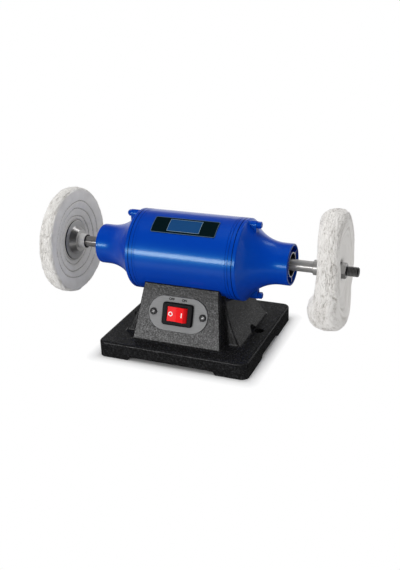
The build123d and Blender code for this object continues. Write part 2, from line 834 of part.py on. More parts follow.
with BuildPart() as rotor_core:
    with BuildSketch(spindle_plane):
        with Locations((0, (rotor_radius + shaft_core_radius + press_gap) / 2)):
            Rectangle(rotor_length, rotor_radius - shaft_core_radius - press_gap)
    revolve(axis=spindle_axis)
finish(rotor_core, "rotor_core")

with BuildPart() as rotor_end_rings:
    for side in (-1, 1):
        ring_back = rotor_length / 2 + seat_gap
        with BuildSketch(cross_plane(side * ring_back)):
            Circle(rotor_radius - slip_gap)
            Circle(rotor_ring_inner_radius, mode=Mode.SUBTRACT)
        extrude(amount=side * rotor_ring_width)
        blade_height = rotor_radius - rotor_ring_inner_radius - 2 * fan_blade_inset
        blade_middle = rotor_ring_inner_radius + fan_blade_inset + blade_height / 2
        with BuildSketch(cross_plane(side * ring_back)):
            with PolarLocations(blade_middle, fan_blade_count):
                Rectangle(blade_height, fan_blade_thickness)
        extrude(amount=side * (rotor_ring_width + fan_blade_length))
finish(rotor_end_rings, "rotor_end_rings")

# Ball bearings: the rings are turned round the ball circle, the balls sit in a cage
ball_plane_x = bearing_front - bearing_width / 2
inner_land = ball_circle_radius - race_land
outer_land = ball_circle_radius + race_land + race_land_step
for side, name in ((-1, "left"), (1, "right")):
    with BuildPart() as outer_ring:
        with BuildSketch(spindle_plane):
            with Locations((side * ball_plane_x, (outer_land + bearing_outer_radius) / 2)):
                Rectangle(bearing_width - 2 * seat_gap, bearing_outer_radius - outer_land)
            with Locations((side * ball_plane_x, ball_circle_radius)):
                Circle(ball_radius + ball_gap, mode=Mode.SUBTRACT)
        revolve(axis=spindle_axis)
    finish(outer_ring, f"{name}_bearing_outer_ring")
    with BuildPart() as inner_ring:
        with BuildSketch(spindle_plane):
            with Locations((side * ball_plane_x, (inner_land + shaft_radius + press_gap) / 2)):
                Rectangle(bearing_width - 2 * seat_gap, inner_land - shaft_radius - press_gap)
            with Locations((side * ball_plane_x, ball_circle_radius)):
                Circle(ball_radius + ball_gap, mode=Mode.SUBTRACT)
        revolve(axis=spindle_axis)
    finish(inner_ring, f"{name}_bearing_inner_ring")
    with BuildPart() as ball_set:
        with BuildSketch(spindle_plane):
            with Locations((side * ball_plane_x, ball_circle_radius)):
                Rectangle(cage_width, cage_thickness)
        revolve(axis=spindle_axis)
        with Locations(cross_plane(side * ball_plane_x)):
            with PolarLocations(ball_circle_radius, ball_count):
                Sphere(ball_radius)
    finish(ball_set, f"{name}_ball_set")

with BuildPart() as bearing_retaining_rings:
    for side in (-1, 1):
        ring_x = bearing_front + seat_gap
        with BuildSketch(cross_plane(side * ring_x)):
            Circle(shaft_radius + retaining_ring_height)
            Circle(shaft_radius + press_gap, mode=Mode.SUBTRACT)
            opening = 2 * shaft_radius * math.sin(math.radians(retaining_ring_opening / 2))
            with Locations((0, -shaft_radius - retaining_ring_height)):
                Rectangle(opening, 2 * shaft_radius, mode=Mode.SUBTRACT)
        extrude(amount=side * retaining_ring_width)
finish(bearing_retaining_rings, "bearing_retaining_rings")

# Inner flanges: a flat clamping rim, a dished dome and a collar on the shaft
for side, name in ((-1, "left_inner_flange"), (1, "right_inner_flange")):
    dome_x = flange_rim_x - flange_dome_height
    hub_end = flange_face - flange_hub_setback
    dish_wall = flange_thickness
    with BuildPart() as flange:
        with BuildSketch(spindle_plane):
            with BuildLine():
                Polyline(
                    (side * collar_end, shaft_radius + press_gap),
                    (side * collar_end, collar_radius),
                    (side * dome_x, collar_radius),
                    (side * dome_x, flange_dome_radius),
                    (side * flange_rim_x, flange_dish_radius),
                    (side * flange_rim_x, flange_radius),
                    (side * flange_face, flange_radius),
                    (side * flange_face, flange_dish_radius - dish_wall / 2),
                    (side * (dome_x + dish_wall), flange_dome_radius - dish_wall / 2),
                    (side * (dome_x + dish_wall), collar_radius),
                    (side * hub_end, collar_radius),
                    (side * hub_end, thread_radius + press_gap),
                    (side * thread_start, thread_radius + press_gap),
                    (side * thread_start, shaft_radius + press_gap),
                    close=True,
                )
            make_face()
        revolve(axis=spindle_axis)
        collar_rims = flange.edges().filter_by(GeomType.CIRCLE)
        collar_rims = collar_rims.sort_by(lambda edge: side * edge.arc_center.X)[:2]
        fillet(collar_rims.sort_by(SortBy.RADIUS)[-1], radius=(collar_radius - shaft_radius) / 4)
        outer_rims = flange.edges().filter_by(GeomType.CIRCLE).sort_by(SortBy.RADIUS)[-2:]
        fillet(outer_rims, radius=flange_thickness / 3)
    finish(flange, name)

# Buffs: pinched at the hub by flange and washer, swelling to the working rim
hub_middle = (hub_inner + hub_outer) / 2


def buff_disc(side, radius, face_radius, thickness, shift, swell_radii):
    """A cloth disc; the swell radii are where its inner and outer faces reach their full thickness."""
    rim_middle = hub_middle + shift
    face_in = rim_middle - thickness / 2
    face_out = rim_middle + thickness / 2
    hole = thread_radius + buff_hole_gap
    inner_pinch = (side * hub_inner, flange_radius + buff_pinch_gap)
    outer_pinch = (side * hub_outer, washer_radius + buff_pinch_gap)
    inner_swell = (side * face_in, swell_radii[0])
    outer_swell = (side * face_out, swell_radii[1])
    inner_edge = (side * face_in, face_radius)
    outer_edge = (side * face_out, face_radius)
    with BuildPart() as disc:
        with BuildSketch(spindle_plane):
            with BuildLine():
                Polyline(inner_pinch, (side * hub_inner, hole), (side * hub_outer, hole), outer_pinch)
                SagittaArc(outer_pinch, outer_swell, side * buff_swell_sag)
                Line(outer_swell, outer_edge)
                ThreePointArc(outer_edge, (side * rim_middle, radius), inner_edge)
                Line(inner_edge, inner_swell)
                SagittaArc(inner_swell, inner_pinch, side * buff_swell_sag)
            make_face()
        revolve(axis=spindle_axis)
    return disc.part


left_sizes = (left_buff_radius, left_buff_face_radius, left_buff_thickness, left_buff_shift)
with BuildPart() as left_buff:
    add(buff_disc(-1, *left_sizes, left_buff_swell_radii))
finish(left_buff, "left_buff")

# The loose buff: some of its cloths stand off the stack, at angles from the top towards the front
right_sizes = (right_buff_radius, right_buff_face_radius, right_buff_thickness, right_buff_shift)
low_leaf = (inner_leaf_shift, inner_leaf_tilt, low_leaf_towards)
top_leaf = (inner_leaf_shift, inner_leaf_tilt, top_leaf_towards)
outer_leaf = (outer_leaf_shift, outer_leaf_tilt, outer_leaf_towards)
hub_centre = (hub_middle, 0, axis_height)
with BuildPart() as right_buff:
    add(buff_disc(1, *right_sizes, right_buff_swell_radii))
    for leaf_shift, leaf_tilt, leaf_towards in (low_leaf, top_leaf, outer_leaf):
        tilt = math.radians(leaf_tilt)
        towards = math.radians(leaf_towards)
        leaf_lean = math.sin(tilt)
        leaf_out = (math.cos(tilt), leaf_lean * math.sin(towards), -leaf_lean * math.cos(towards))
        leaf_side = (0, math.cos(towards), math.sin(towards))
        leaf_root = (0, leaf_root_radius)
        leaf_in_edge = (leaf_shift - leaf_thickness / 2, leaf_face_radius)
        leaf_out_edge = (leaf_shift + leaf_thickness / 2, leaf_face_radius)
        with BuildSketch(Plane(origin=hub_centre, x_dir=leaf_out, z_dir=leaf_side)):
            with BuildLine():
                Line(leaf_root, leaf_in_edge)
                ThreePointArc(leaf_in_edge, (leaf_shift, leaf_radius), leaf_out_edge)
                Line(leaf_out_edge, leaf_root)
            make_face()
        revolve(axis=Axis(hub_centre, leaf_out))
finish(right_buff, "right_buff")

for side, name in ((-1, "left_clamp_washer"), (1, "right_clamp_washer")):
    with BuildPart() as washer:
        with BuildSketch(cross_plane(side * washer_face)):
            Circle(washer_radius)
            Circle(thread_radius + slip_gap, mode=Mode.SUBTRACT)
        extrude(amount=side * washer_thickness)
        washer_rims = washer.edges().filter_by(GeomType.CIRCLE).sort_by(SortBy.RADIUS)[-2:]
        fillet(washer_rims, radius=washer_thickness / 6)
    finish(washer, name)

# Arbor nuts, with both ends turned to a cone as on a common hexagon nut
nut_corner = nut_flats / math.sqrt(3)
nut_cone = (nut_corner - nut_flats / 2 * nut_bevel_share) * math.tan(math.radians(nut_chamfer_angle))
for side, name in ((-1, "left_arbor_nut"), (1, "right_arbor_nut")):
    nut_start = nut_face + seat_gap
    nut_end = nut_start + nut_height
    with BuildPart() as nut:
        with BuildSketch(cross_plane(side * nut_start)):
            RegularPolygon(nut_flats / 2, 6, major_radius=False)
        extrude(amount=side * nut_height)
        with BuildSketch(spindle_plane):
            with BuildLine():
                Polyline(
                    (side * nut_start, thread_radius + press_gap),
                    (side * nut_start, nut_flats / 2 * nut_bevel_share),
                    (side * (nut_start + nut_cone), nut_corner),
                    (side * (nut_end - nut_cone), nut_corner),
                    (side * nut_end, nut_flats / 2 * nut_bevel_share),
                    (side * nut_end, thread_radius + press_gap),
                    close=True,
                )
            make_face()
        revolve(axis=spindle_axis, mode=Mode.INTERSECT)
    finish(nut, name)

# Switch: plate, screws, housing, rocker and terminals, all drawn on the sloping panel
screw_places = [(-plate_screw_pitch / 2, 0), (plate_screw_pitch / 2, 0)]
with BuildPart() as switch_plate:
    with BuildSketch(panel.offset(seat_gap)):
        SlotOverall(switch_plate_length, switch_plate_height)
    extrude(amount=switch_plate_thickness)
    rim = switch_plate.faces().sort_by(lambda face: face.center().dot(panel.z_dir))[-1].edges()
    fillet(rim, radius=switch_plate_edge)
    with BuildSketch(panel):
        Rectangle(switch_box_length + 2 * slip_gap, switch_box_height + 2 * slip_gap)
        with Locations(*screw_places):
            Circle(plate_screw_radius + slip_gap)
    extrude(amount=2 * switch_plate_thickness, mode=Mode.SUBTRACT)
finish(switch_plate, "switch_plate")

with BuildPart() as switch_plate_screws:
    with BuildSketch(plate_front.offset(seat_gap)):
        with Locations(*screw_places):
            Circle(plate_screw_head_radius)
    extrude(amount=plate_screw_head_height)
    heads = switch_plate_screws.faces().sort_by(lambda face: face.center().dot(panel.z_dir))[-2:]
    fillet(heads.edges(), radius=plate_screw_head_height / 2)
    with BuildSketch(plate_front.offset(seat_gap)):
        with Locations(*screw_places):
            Circle(plate_screw_radius - press_gap)
    extrude(amount=-plate_screw_grip)
    # Cross recess
    with BuildSketch(plate_front.offset(seat_gap + plate_screw_head_height)):
        with Locations(*screw_places):
            Rectangle(plate_screw_recess, plate_screw_slot, rotation=screw_turn)
            Rectangle(plate_screw_slot, plate_screw_recess, rotation=screw_turn)
    extrude(amount=-plate_screw_recess_depth, mode=Mode.SUBTRACT)
finish(switch_plate_screws, "switch_plate_screws")

pivot = bezel_seat.offset(-rocker_pivot_depth)
up_slope = panel.y_dir
rocker_opening_length = rocker_length + 2 * rocker_gap
rocker_opening_height = rocker_height + 2 * rocker_gap
pin_length = rocker_opening_height + 2 * switch_box_wall - 2 * rocker_pin_inset
pin_plane = Plane(origin=pivot.origin, x_dir=(1, 0, 0), z_dir=up_slope)
with BuildPart() as switch_housing:
    with BuildSketch(bezel_seat):
        RectangleRounded(bezel_length, bezel_height, bezel_corner)
    extrude(amount=bezel_thickness)
    bezel_top = switch_housing.faces().sort_by(lambda face: face.center().dot(panel.z_dir))[-1]
    fillet(bezel_top.edges(), radius=bezel_edge)
    with BuildSketch(bezel_seat):
        Rectangle(switch_box_length, switch_box_height)
    extrude(amount=-switch_box_depth)
    with BuildSketch(bezel_seat.offset(bezel_thickness)):
        Rectangle(rocker_opening_length, rocker_opening_height)
    extrude(amount=-(bezel_thickness + switch_box_depth - switch_box_wall), mode=Mode.SUBTRACT)
    with BuildSketch(pin_plane):
        Circle(rocker_pin_radius + ball_gap)
    extrude(amount=switch_box_height, both=True, mode=Mode.SUBTRACT)
finish(switch_housing, "switch_housing")

# The rocker rests with its left end pressed in, half its travel from level
rest_tilt = math.radians(rocker_travel / 2)
rocker_x = (math.cos(rest_tilt), -math.sin(rest_tilt) * lean_cos, math.sin(rest_tilt) * lean_sin)
rocker_plane = Plane(origin=pivot.origin, x_dir=rocker_x, z_dir=-up_slope)
rocker_rise = rocker_length * math.tan(rest_tilt)
with BuildPart() as rocker:
    with BuildSketch(rocker_plane):
        Circle(rocker_length / 2)
        with BuildLine():
            Polyline(
                (-rocker_length, -rocker_bottom),
                (rocker_length, -rocker_bottom),
                (rocker_length, rocker_top + rocker_rise),
                (0, rocker_top),
                (-rocker_length, rocker_top + rocker_rise),
                close=True,
            )
        make_face(mode=Mode.INTERSECT)
    extrude(amount=rocker_height / 2, both=True)
    with BuildSketch(pin_plane):
        Circle(rocker_pin_radius)
    extrude(amount=pin_length / 2, both=True)
finish(rocker, "rocker")

with BuildPart() as switch_terminals:
    with BuildSketch(bezel_seat.offset(-switch_box_depth - seat_gap)):
        with GridLocations(terminal_pitch_x, terminal_pitch_y, 2, 2):
            Rectangle(terminal_width, terminal_thickness)
    extrude(amount=-terminal_length)
finish(switch_terminals, "switch_terminals")

# Capacitor, its strap and the terminal block on the bottom cover
capacitor_z = cover_top + seat_gap + capacitor_radius
block_x = -(capacitor_length + block_length) / 2 - block_gap
with BuildPart() as capacitor:
    with Locations((0, capacitor_y, capacitor_z)):
        Cylinder(capacitor_radius, capacitor_length, rotation=(0, 90, 0))
    fillet(capacitor.edges().filter_by(GeomType.CIRCLE), radius=capacitor_edge)
finish(capacitor, "capacitor")

strap_inner = capacitor_radius + slip_gap
strap_outer = strap_inner + clamp_thickness
strap_start = (-clamp_width / 2, capacitor_y, capacitor_z)
with BuildPart() as capacitor_clamp:
    with BuildSketch(Plane(origin=strap_start, x_dir=(0, 1, 0), z_dir=(1, 0, 0))):
        strap_foot = -capacitor_radius
        Circle(strap_outer)
        with Locations((0, strap_foot / 2)):
            Rectangle(2 * strap_outer, capacitor_radius)
        Circle(strap_inner, mode=Mode.SUBTRACT)
        with Locations((0, strap_foot / 2)):
            Rectangle(2 * strap_inner, capacitor_radius, mode=Mode.SUBTRACT)
        with Locations((0, strap_foot)):
            Rectangle(3 * strap_outer, strap_outer, align=(Align.CENTER, Align.MAX), mode=Mode.SUBTRACT)
        tab_middle = strap_outer + clamp_tab / 2
        with Locations((-tab_middle, strap_foot), (tab_middle, strap_foot)):
            Rectangle(clamp_tab + clamp_thickness, clamp_thickness, align=(Align.CENTER, Align.MIN))
    extrude(amount=clamp_width)
    with BuildSketch(Plane.XY.offset(cover_top)):
        with Locations((0, capacitor_y - clamp_reach), (0, capacitor_y + clamp_reach)):
            Circle(clamp_screw_radius + slip_gap)
    extrude(amount=3 * clamp_thickness, mode=Mode.SUBTRACT)
finish(capacitor_clamp, "capacitor_clamp")

with BuildPart() as capacitor_clamp_screws:
    screw_seat = cover_top + clamp_thickness + 2 * seat_gap
    with BuildSketch(Plane.XY.offset(screw_seat)):
        with Locations((0, capacitor_y - clamp_reach), (0, capacitor_y + clamp_reach)):
            Circle(clamp_head_radius)
    extrude(amount=clamp_head_height)
    with BuildSketch(Plane.XY.offset(screw_seat)):
        with Locations((0, capacitor_y - clamp_reach), (0, capacitor_y + clamp_reach)):
            Circle(clamp_screw_radius)
    extrude(amount=-(clamp_thickness + cover_thickness + 2 * seat_gap))
finish(capacitor_clamp_screws, "capacitor_clamp_screws")

block_start = (block_x - block_length / 2, block_y, cover_top + seat_gap)
with BuildPart() as terminal_block:
    with BuildSketch(Plane(origin=block_start, x_dir=(0, 1, 0), z_dir=(1, 0, 0))):
        Rectangle(block_width, block_height - block_step, align=(Align.CENTER, Align.MIN))
        Rectangle(block_width / 2, block_height, align=(Align.CENTER, Align.MIN))
    extrude(amount=block_length)
    with BuildSketch(Plane.XY.offset(cover_top + seat_gap + block_height)):
        with Locations((block_x, block_y)):
            with GridLocations(block_pole_pitch, 0, 3, 1):
                Circle(block_well_radius)
    extrude(amount=-block_well_depth, mode=Mode.SUBTRACT)
finish(terminal_block, "terminal_block")

# Cord bush: a flange outside the rear wall, a barrel through it and a lock ring inside
with BuildPart() as cord_inlet_bush:
    with BuildSketch(rear.offset(seat_gap)):
        Circle(bush_hole_radius + bush_flange)
    extrude(amount=bush_flange_thickness)
    bush_face = cord_inlet_bush.faces().sort_by(lambda face: face.center().dot(rear.z_dir))[-1]
    fillet(bush_face.edges(), radius=bush_flange_thickness / 2)
    with BuildSketch(rear.offset(seat_gap)):
        Circle(bush_hole_radius - slip_gap)
    extrude(amount=-(pedestal_face_wall + 2 * seat_gap + bush_lock))
    with BuildSketch(rear.offset(-pedestal_face_wall - seat_gap)):
        Circle(bush_hole_radius + bush_lock)
    extrude(amount=-bush_lock)
    with BuildSketch(rear.offset(2 * bush_flange_thickness)):
        Circle(bush_bore_radius)
    extrude(amount=-(pedestal_face_wall + 4 * bush_flange_thickness), mode=Mode.SUBTRACT)
finish(cord_inlet_bush, "cord_inlet_bush")
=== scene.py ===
# %% [markdown]
# # A bench polishing machine
#
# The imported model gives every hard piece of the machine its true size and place. This lesson adds what a
# solid model can't show: paint, turned steel, moulded plastic, and the two cloth buffs with their
# stitching and frayed rims.

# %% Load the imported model
import json
import math

import bmesh
import bpy
import numpy as np
from mathutils import Matrix, Vector, noise


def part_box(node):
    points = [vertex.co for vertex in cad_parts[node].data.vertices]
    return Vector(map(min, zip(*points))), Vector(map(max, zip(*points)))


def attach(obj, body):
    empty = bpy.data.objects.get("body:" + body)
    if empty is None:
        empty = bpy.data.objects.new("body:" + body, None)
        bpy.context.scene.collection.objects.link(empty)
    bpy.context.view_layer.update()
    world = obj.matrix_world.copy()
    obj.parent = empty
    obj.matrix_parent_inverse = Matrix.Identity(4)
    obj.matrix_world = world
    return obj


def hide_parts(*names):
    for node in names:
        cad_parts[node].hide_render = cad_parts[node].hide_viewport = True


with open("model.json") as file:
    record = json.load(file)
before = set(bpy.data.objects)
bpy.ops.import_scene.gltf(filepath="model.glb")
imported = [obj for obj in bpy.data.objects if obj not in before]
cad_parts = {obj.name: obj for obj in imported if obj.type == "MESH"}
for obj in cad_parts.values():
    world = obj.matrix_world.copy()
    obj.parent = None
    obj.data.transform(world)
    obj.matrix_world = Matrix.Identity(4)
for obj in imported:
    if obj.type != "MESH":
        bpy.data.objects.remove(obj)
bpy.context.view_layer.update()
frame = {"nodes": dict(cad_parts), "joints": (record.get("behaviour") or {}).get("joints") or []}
nodes = frame["nodes"]
shaft_low, shaft_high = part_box("spindle_shaft")
axle_height = (shaft_low.z + shaft_high.z) / 2
millimetre = 0.001

# %% [markdown]
# ## Camera
#
# The photograph was taken from a little over one metre away, from the front right and above. A camera can
# be aimed with a constraint, but this one also leans a little. Its bearing, height, roll and lens were
# found by fitting the slab's corners, the motor's rims and the buffs, so they are written here as plain
# numbers. The long side of the frame carries the sensor's 36 mm.

# %% Set the camera
bearing = math.radians(23.49)
height_angle = math.radians(23.62)
roll = math.radians(-2.39)
camera_distance = 1.0895
aim = Vector((0.0061, 0.0, 0.07915))
sensor_size = 36
focal_pixels = 795.56
frame_pixels = 570
far_limit = 60
back = Vector(
    (
        math.sin(bearing) * math.cos(height_angle),
        -math.cos(bearing) * math.cos(height_angle),
        math.sin(height_angle),
    )
)
level = Vector((math.cos(bearing), math.sin(bearing), 0))
lift = back.cross(level)
right_way = level * math.cos(roll) + lift * math.sin(roll)
up_way = lift * math.cos(roll) - level * math.sin(roll)

camera_data = bpy.data.cameras.new("camera")
camera_data.sensor_width = sensor_size
camera_data.lens = focal_pixels / frame_pixels * sensor_size
camera_data.clip_end = far_limit
camera = bpy.data.objects.new("camera", camera_data)
bpy.context.scene.collection.objects.link(camera)
turn = Matrix((right_way, up_way, back)).transposed().to_4x4()
camera.matrix_world = Matrix.Translation(aim + back * camera_distance) @ turn
bpy.context.scene.camera = camera
camera_place = [round(v, 3) for v in camera.matrix_world.translation]
print("camera at", camera_place, "lens", round(camera_data.lens, 2))

# %% [markdown]
# ## Small helpers for finishes
#
# A finish is a Principled shader with a few nodes in front of it. Each helper adds one kind of node and
# hands back its output, so a finish reads as a short recipe. Patterns use object coordinates, which are
# metres in the machine's frame, so a grain of one millimetre is a scale of about a thousand.

# %% Helpers for finishes
def new_finish(name, colour, roughness, metallic=0.0, specular=0.5):
    material = bpy.data.materials.new(name)
    material.use_nodes = True
    tree = material.node_tree
    shader = tree.nodes["Principled BSDF"]
    shader.inputs["Base Color"].default_value = (*colour, 1.0)
    shader.inputs["Roughness"].default_value = roughness
    shader.inputs["Metallic"].default_value = metallic
    shader.inputs["Specular IOR Level"].default_value = specular
    return material, tree, shader


def feed(shader, socket, output):
    shader.id_data.links.new(output, shader.inputs[socket])


def machine_coordinates(tree, stretch=(1, 1, 1)):
    place = tree.nodes.new("ShaderNodeTexCoord")
    mapping = tree.nodes.new("ShaderNodeMapping")
    mapping.inputs["Scale"].default_value = stretch
    tree.links.new(place.outputs["Object"], mapping.inputs["Vector"])
    return mapping.outputs["Vector"]


def grain(tree, vector, scale, detail=3.0, roughness=0.55):
    cloud = tree.nodes.new("ShaderNodeTexNoise")
    cloud.inputs["Scale"].default_value = scale
    cloud.inputs["Detail"].default_value = detail
    cloud.inputs["Roughness"].default_value = roughness
    tree.links.new(vector, cloud.inputs["Vector"])
    return cloud.outputs["Fac"]


def blend_colours(tree, factor, stops):
    ramp = tree.nodes.new("ShaderNodeValToRGB")
    while len(ramp.color_ramp.elements) < len(stops):
        ramp.color_ramp.elements.new(0.5)
    for element, (position, colour) in zip(ramp.color_ramp.elements, stops):
        element.position = position
        element.color = (*colour, 1.0)
    tree.links.new(factor, ramp.inputs["Fac"])
    return ramp.outputs["Color"]


def spread(tree, factor, low, high, from_low=0.0, from_high=1.0):
    remap = tree.nodes.new("ShaderNodeMapRange")
    remap.inputs["From Min"].default_value = from_low
    remap.inputs["From Max"].default_value = from_high
    remap.inputs["To Min"].default_value = low
    remap.inputs["To Max"].default_value = high
    tree.links.new(factor, remap.inputs["Value"])
    return remap.outputs["Result"]


def raise_surface(tree, shader, height, depth, strength=1.0):
    bump = tree.nodes.new("ShaderNodeBump")
    bump.inputs["Distance"].default_value = depth
    bump.inputs["Strength"].default_value = strength
    tree.links.new(height, bump.inputs["Height"])
    earlier = shader.inputs["Normal"].links
    if earlier:
        tree.links.new(earlier[0].from_socket, bump.inputs["Normal"])
    tree.links.new(bump.outputs["Normal"], shader.inputs["Normal"])


def dress(material, *names):
    for name in names:
        piece = nodes[name]
        piece.data.materials.clear()
        piece.data.materials.append(material)
    print(material.name, "on", len(names), "nodes")


# %% [markdown]
# ## Studio
#
# The machine stands on white paper with no visible horizon. A picture of a studio could light it, but
# lamps and a few nodes let each reflection be set by itself. A wide, low softbox at the front left draws
# the long bright band on the motor and lights the front of the base. Two large fills work from above and
# from the right; they are hidden from mirror rays, so they add no bands of their own. A small lamp behind
# puts a glint on the edges that face away. The camera sees plain white all round. Mirror rays see the
# white sweep behind the machine and a dim room on the camera's side, which keeps the paint's colours
# deep.

# %% World
def math_node(tree, operation, first, second=None):
    step = tree.nodes.new("ShaderNodeMath")
    step.operation = operation
    for socket, value in zip(step.inputs, (first, second)):
        if isinstance(value, (int, float)):
            socket.default_value = value
        elif value is not None:
            tree.links.new(value, socket)
    return step.outputs[0]


def part_of(tree, vector, axis):
    split = tree.nodes.new("ShaderNodeSeparateXYZ")
    tree.links.new(vector, split.inputs[0])
    return split.outputs[axis]


dim_light = 0.44
room_in_front, sweep_behind = 0.03, 0.9
sweep_from, sweep_full = 0.3, 0.75
ceiling = 0.1
ceiling_from, ceiling_full = 0.26, 0.42
world = bpy.data.worlds.new("studio")
bpy.context.scene.world = world
world.use_nodes = True
sky = world.node_tree
path = sky.nodes.new("ShaderNodeLightPath")
plain_white = math_node(sky, "MAXIMUM", path.outputs["Is Camera Ray"], path.outputs["Is Transmission Ray"])
in_mirrors = path.outputs["Is Glossy Ray"]
direction = sky.nodes.new("ShaderNodeTexCoord").outputs["Generated"]
room = spread(sky, part_of(sky, direction, "Y"), room_in_front, sweep_behind, sweep_from, sweep_full)
overhead = spread(sky, part_of(sky, direction, "Z"), 1.0, ceiling, ceiling_from, ceiling_full)
mirrored = math_node(sky, "MULTIPLY", in_mirrors, math_node(sky, "MULTIPLY", room, overhead))
dim = math_node(sky, "MULTIPLY", math_node(sky, "SUBTRACT", 1.0, in_mirrors), dim_light)
level_of_light = math_node(sky, "MAXIMUM", plain_white, math_node(sky, "MAXIMUM", mirrored, dim))
background = sky.nodes["Background"]
feed(background, "Strength", level_of_light)
background.inputs["Color"].default_value = (1, 1, 1, 1)
bpy.context.scene.view_settings.view_transform = "Standard"
print("world nodes", len(sky.nodes))


# %% Lamps
lamp_target = Vector((0, 0, 0.12))


def softbox(name, place, width, height, power, in_mirrors):
    lamp = bpy.data.lights.new(name, "AREA")
    lamp.shape = "RECTANGLE"
    lamp.size = width
    lamp.size_y = height
    lamp.energy = power
    holder = bpy.data.objects.new(name, lamp)
    holder.location = place
    holder.rotation_euler = (lamp_target - holder.location).to_track_quat("-Z", "Y").to_euler()
    holder.visible_glossy = in_mirrors
    bpy.context.scene.collection.objects.link(holder)


softbox("front_softbox", (-0.73, -1.6, 0.345), width=1.0, height=0.30, power=12.5, in_mirrors=True)
softbox("top_fill", (-0.2, 0.1, 1.7), width=1.4, height=1.0, power=13, in_mirrors=False)
softbox("right_fill", (1.7, -0.8, 0.9), width=1.2, height=1.0, power=3.4, in_mirrors=False)
softbox("back_lamp", (0.3, 0.95, 1.65), width=0.6, height=0.5, power=2.5, in_mirrors=True)

# %% [markdown]
# ## Paper floor
#
# The paper is a plain diffuse white. A curved sheet could hide the horizon, but a flat floor that fades
# is enough. Close to the slab it keeps the real shadows; two centimetres out it has faded into an even
# white, so the edge of the paper never shows. The fade reads the distance from the slab's outline. In
# mirrors the paper carries a painted shadow close to the machine and is bright far behind it, as a lit
# sweep is.

# %% Paper and its distance from the slab
floor_radius = 25
bpy.ops.mesh.primitive_circle_add(vertices=96, radius=floor_radius, fill_type="NGON")
floor = bpy.context.object
floor.name = "floor"
paper, tree, shader = new_finish("paper", (0.85, 0.85, 0.85), 0.9, specular=0.0)
slab_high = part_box("base_casting")[1]
slab_corner = (slab_high.x, slab_high.y, 0)
beyond = machine_coordinates(tree)
for operation, limit in (
    ("ABSOLUTE", None),
    ("SUBTRACT", slab_corner),
    ("MAXIMUM", (0, 0, 0)),
    ("LENGTH", None),
):
    step = tree.nodes.new("ShaderNodeVectorMath")
    step.operation = operation
    tree.links.new(beyond, step.inputs[0])
    if limit:
        step.inputs[1].default_value = limit
    beyond = step.outputs[0]
distance = step.outputs["Value"]
print("paper floor, radius", floor_radius, "m, slab corner", [round(v, 4) for v in slab_corner])

# %% Fade and glow of the paper
fade_width = 0.018
path = tree.nodes.new("ShaderNodeLightPath")
seen = math_node(tree, "MAXIMUM", path.outputs["Is Camera Ray"], path.outputs["Is Transmission Ray"])
in_mirrors = path.outputs["Is Glossy Ray"]
even = spread(tree, distance, 0.0, 1.0, 0.0, fade_width)
share = math_node(tree, "MAXIMUM", math_node(tree, "MULTIPLY", seen, even), in_mirrors)
# Painted shadow: mirror rays see the paper dark close to the machine.
out_of_shadow = spread(tree, distance, 0.03, 0.55, from_low=0.1, from_high=0.22)
far_off = spread(tree, distance, 1.0, 0.15, from_low=0.28, from_high=0.5)
rearward = part_of(tree, machine_coordinates(tree), "Y")
behind = spread(tree, rearward, 0.0, 0.95, from_low=0.35, from_high=0.8)
lit = math_node(tree, "MAXIMUM", math_node(tree, "MULTIPLY", out_of_shadow, far_off), behind)
unlit = math_node(tree, "MULTIPLY", in_mirrors, math_node(tree, "SUBTRACT", 1.0, lit))
glow = tree.nodes.new("ShaderNodeEmission")
feed(glow, "Strength", math_node(tree, "SUBTRACT", 1.0, unlit))
mix = tree.nodes.new("ShaderNodeMixShader")
for socket, output in zip(mix.inputs, (share, shader.outputs[0], glow.outputs[0])):
    tree.links.new(output, socket)
feed(tree.nodes["Material Output"], "Surface", mix.outputs[0])
floor.data.materials.append(paper)
print("paper fades over", fade_width, "m")

# %% [markdown]
# ## Paint on the casting
#
# The base wears a coarse black paint that dries to small pimples, each with its own glint. An image of
# such paint could be laid on it, but noise has no seams. Two layers make it: the fine one pushes the
# surface up and down, thins the black on the crests and makes them glossier, and a coarser one changes
# how sharp the glints are.

# %% Black casting paint
casting_paint, tree, shader = new_finish("black_casting_paint", (0.014, 0.014, 0.015), 0.23, specular=0.17)
place = machine_coordinates(tree)
pimples = grain(tree, place, 560, 1.2, 0.5)
patches = grain(tree, place, 90, 2.0)
paint_tones = [(0.40, (0.008, 0.008, 0.008)), (0.55, (0.014, 0.014, 0.015)), (0.70, (0.030, 0.030, 0.032))]
feed(shader, "Base Color", blend_colours(tree, pimples, paint_tones))
feed(shader, "Specular IOR Level", spread(tree, pimples, 0.09, 0.25, from_low=0.38, from_high=0.64))
feed(shader, "Roughness", spread(tree, patches, 0.2, 0.26))
raise_surface(tree, shader, pimples, depth=0.00012)
dress(casting_paint, "base_casting")

# %% [markdown]
# ## Blue enamel
#
# Tube, bells, tie bolts and nuts are sprayed in one deep blue. The band of light on it has a bright core
# and a soft blue fringe. One layer of gloss would give the core or the fringe, so the paint has two: a
# clear coat mirrors sharply, and a rougher gloss under it is tinted like the paint. The rolled tube takes
# more of both than the cast bells, so one recipe gives two finishes. A faint slow ripple is the spray's
# orange peel.

# %% Blue enamel
blue_tones = [(0.3, (0.0, 0.038, 0.37)), (0.7, (0.0, 0.042, 0.40))]
gloss_tint = (0.05, 0.8, 1.0, 1.0)


def sprayed_enamel(name, specular, coat):
    material, tree, shader = new_finish(name, (0.0, 0.04, 0.39), 0.33, specular=specular)
    shader.inputs["Specular Tint"].default_value = gloss_tint
    shader.inputs["Coat Weight"].default_value = coat
    shader.inputs["Coat Roughness"].default_value = 0.15
    place = machine_coordinates(tree)
    peel = grain(tree, place, 210, 2.0)
    tone = grain(tree, place, 14, 2.0)
    feed(shader, "Base Color", blend_colours(tree, tone, blue_tones))
    feed(shader, "Roughness", spread(tree, tone, 0.30, 0.36))
    raise_surface(tree, shader, peel, depth=0.00003)
    return material


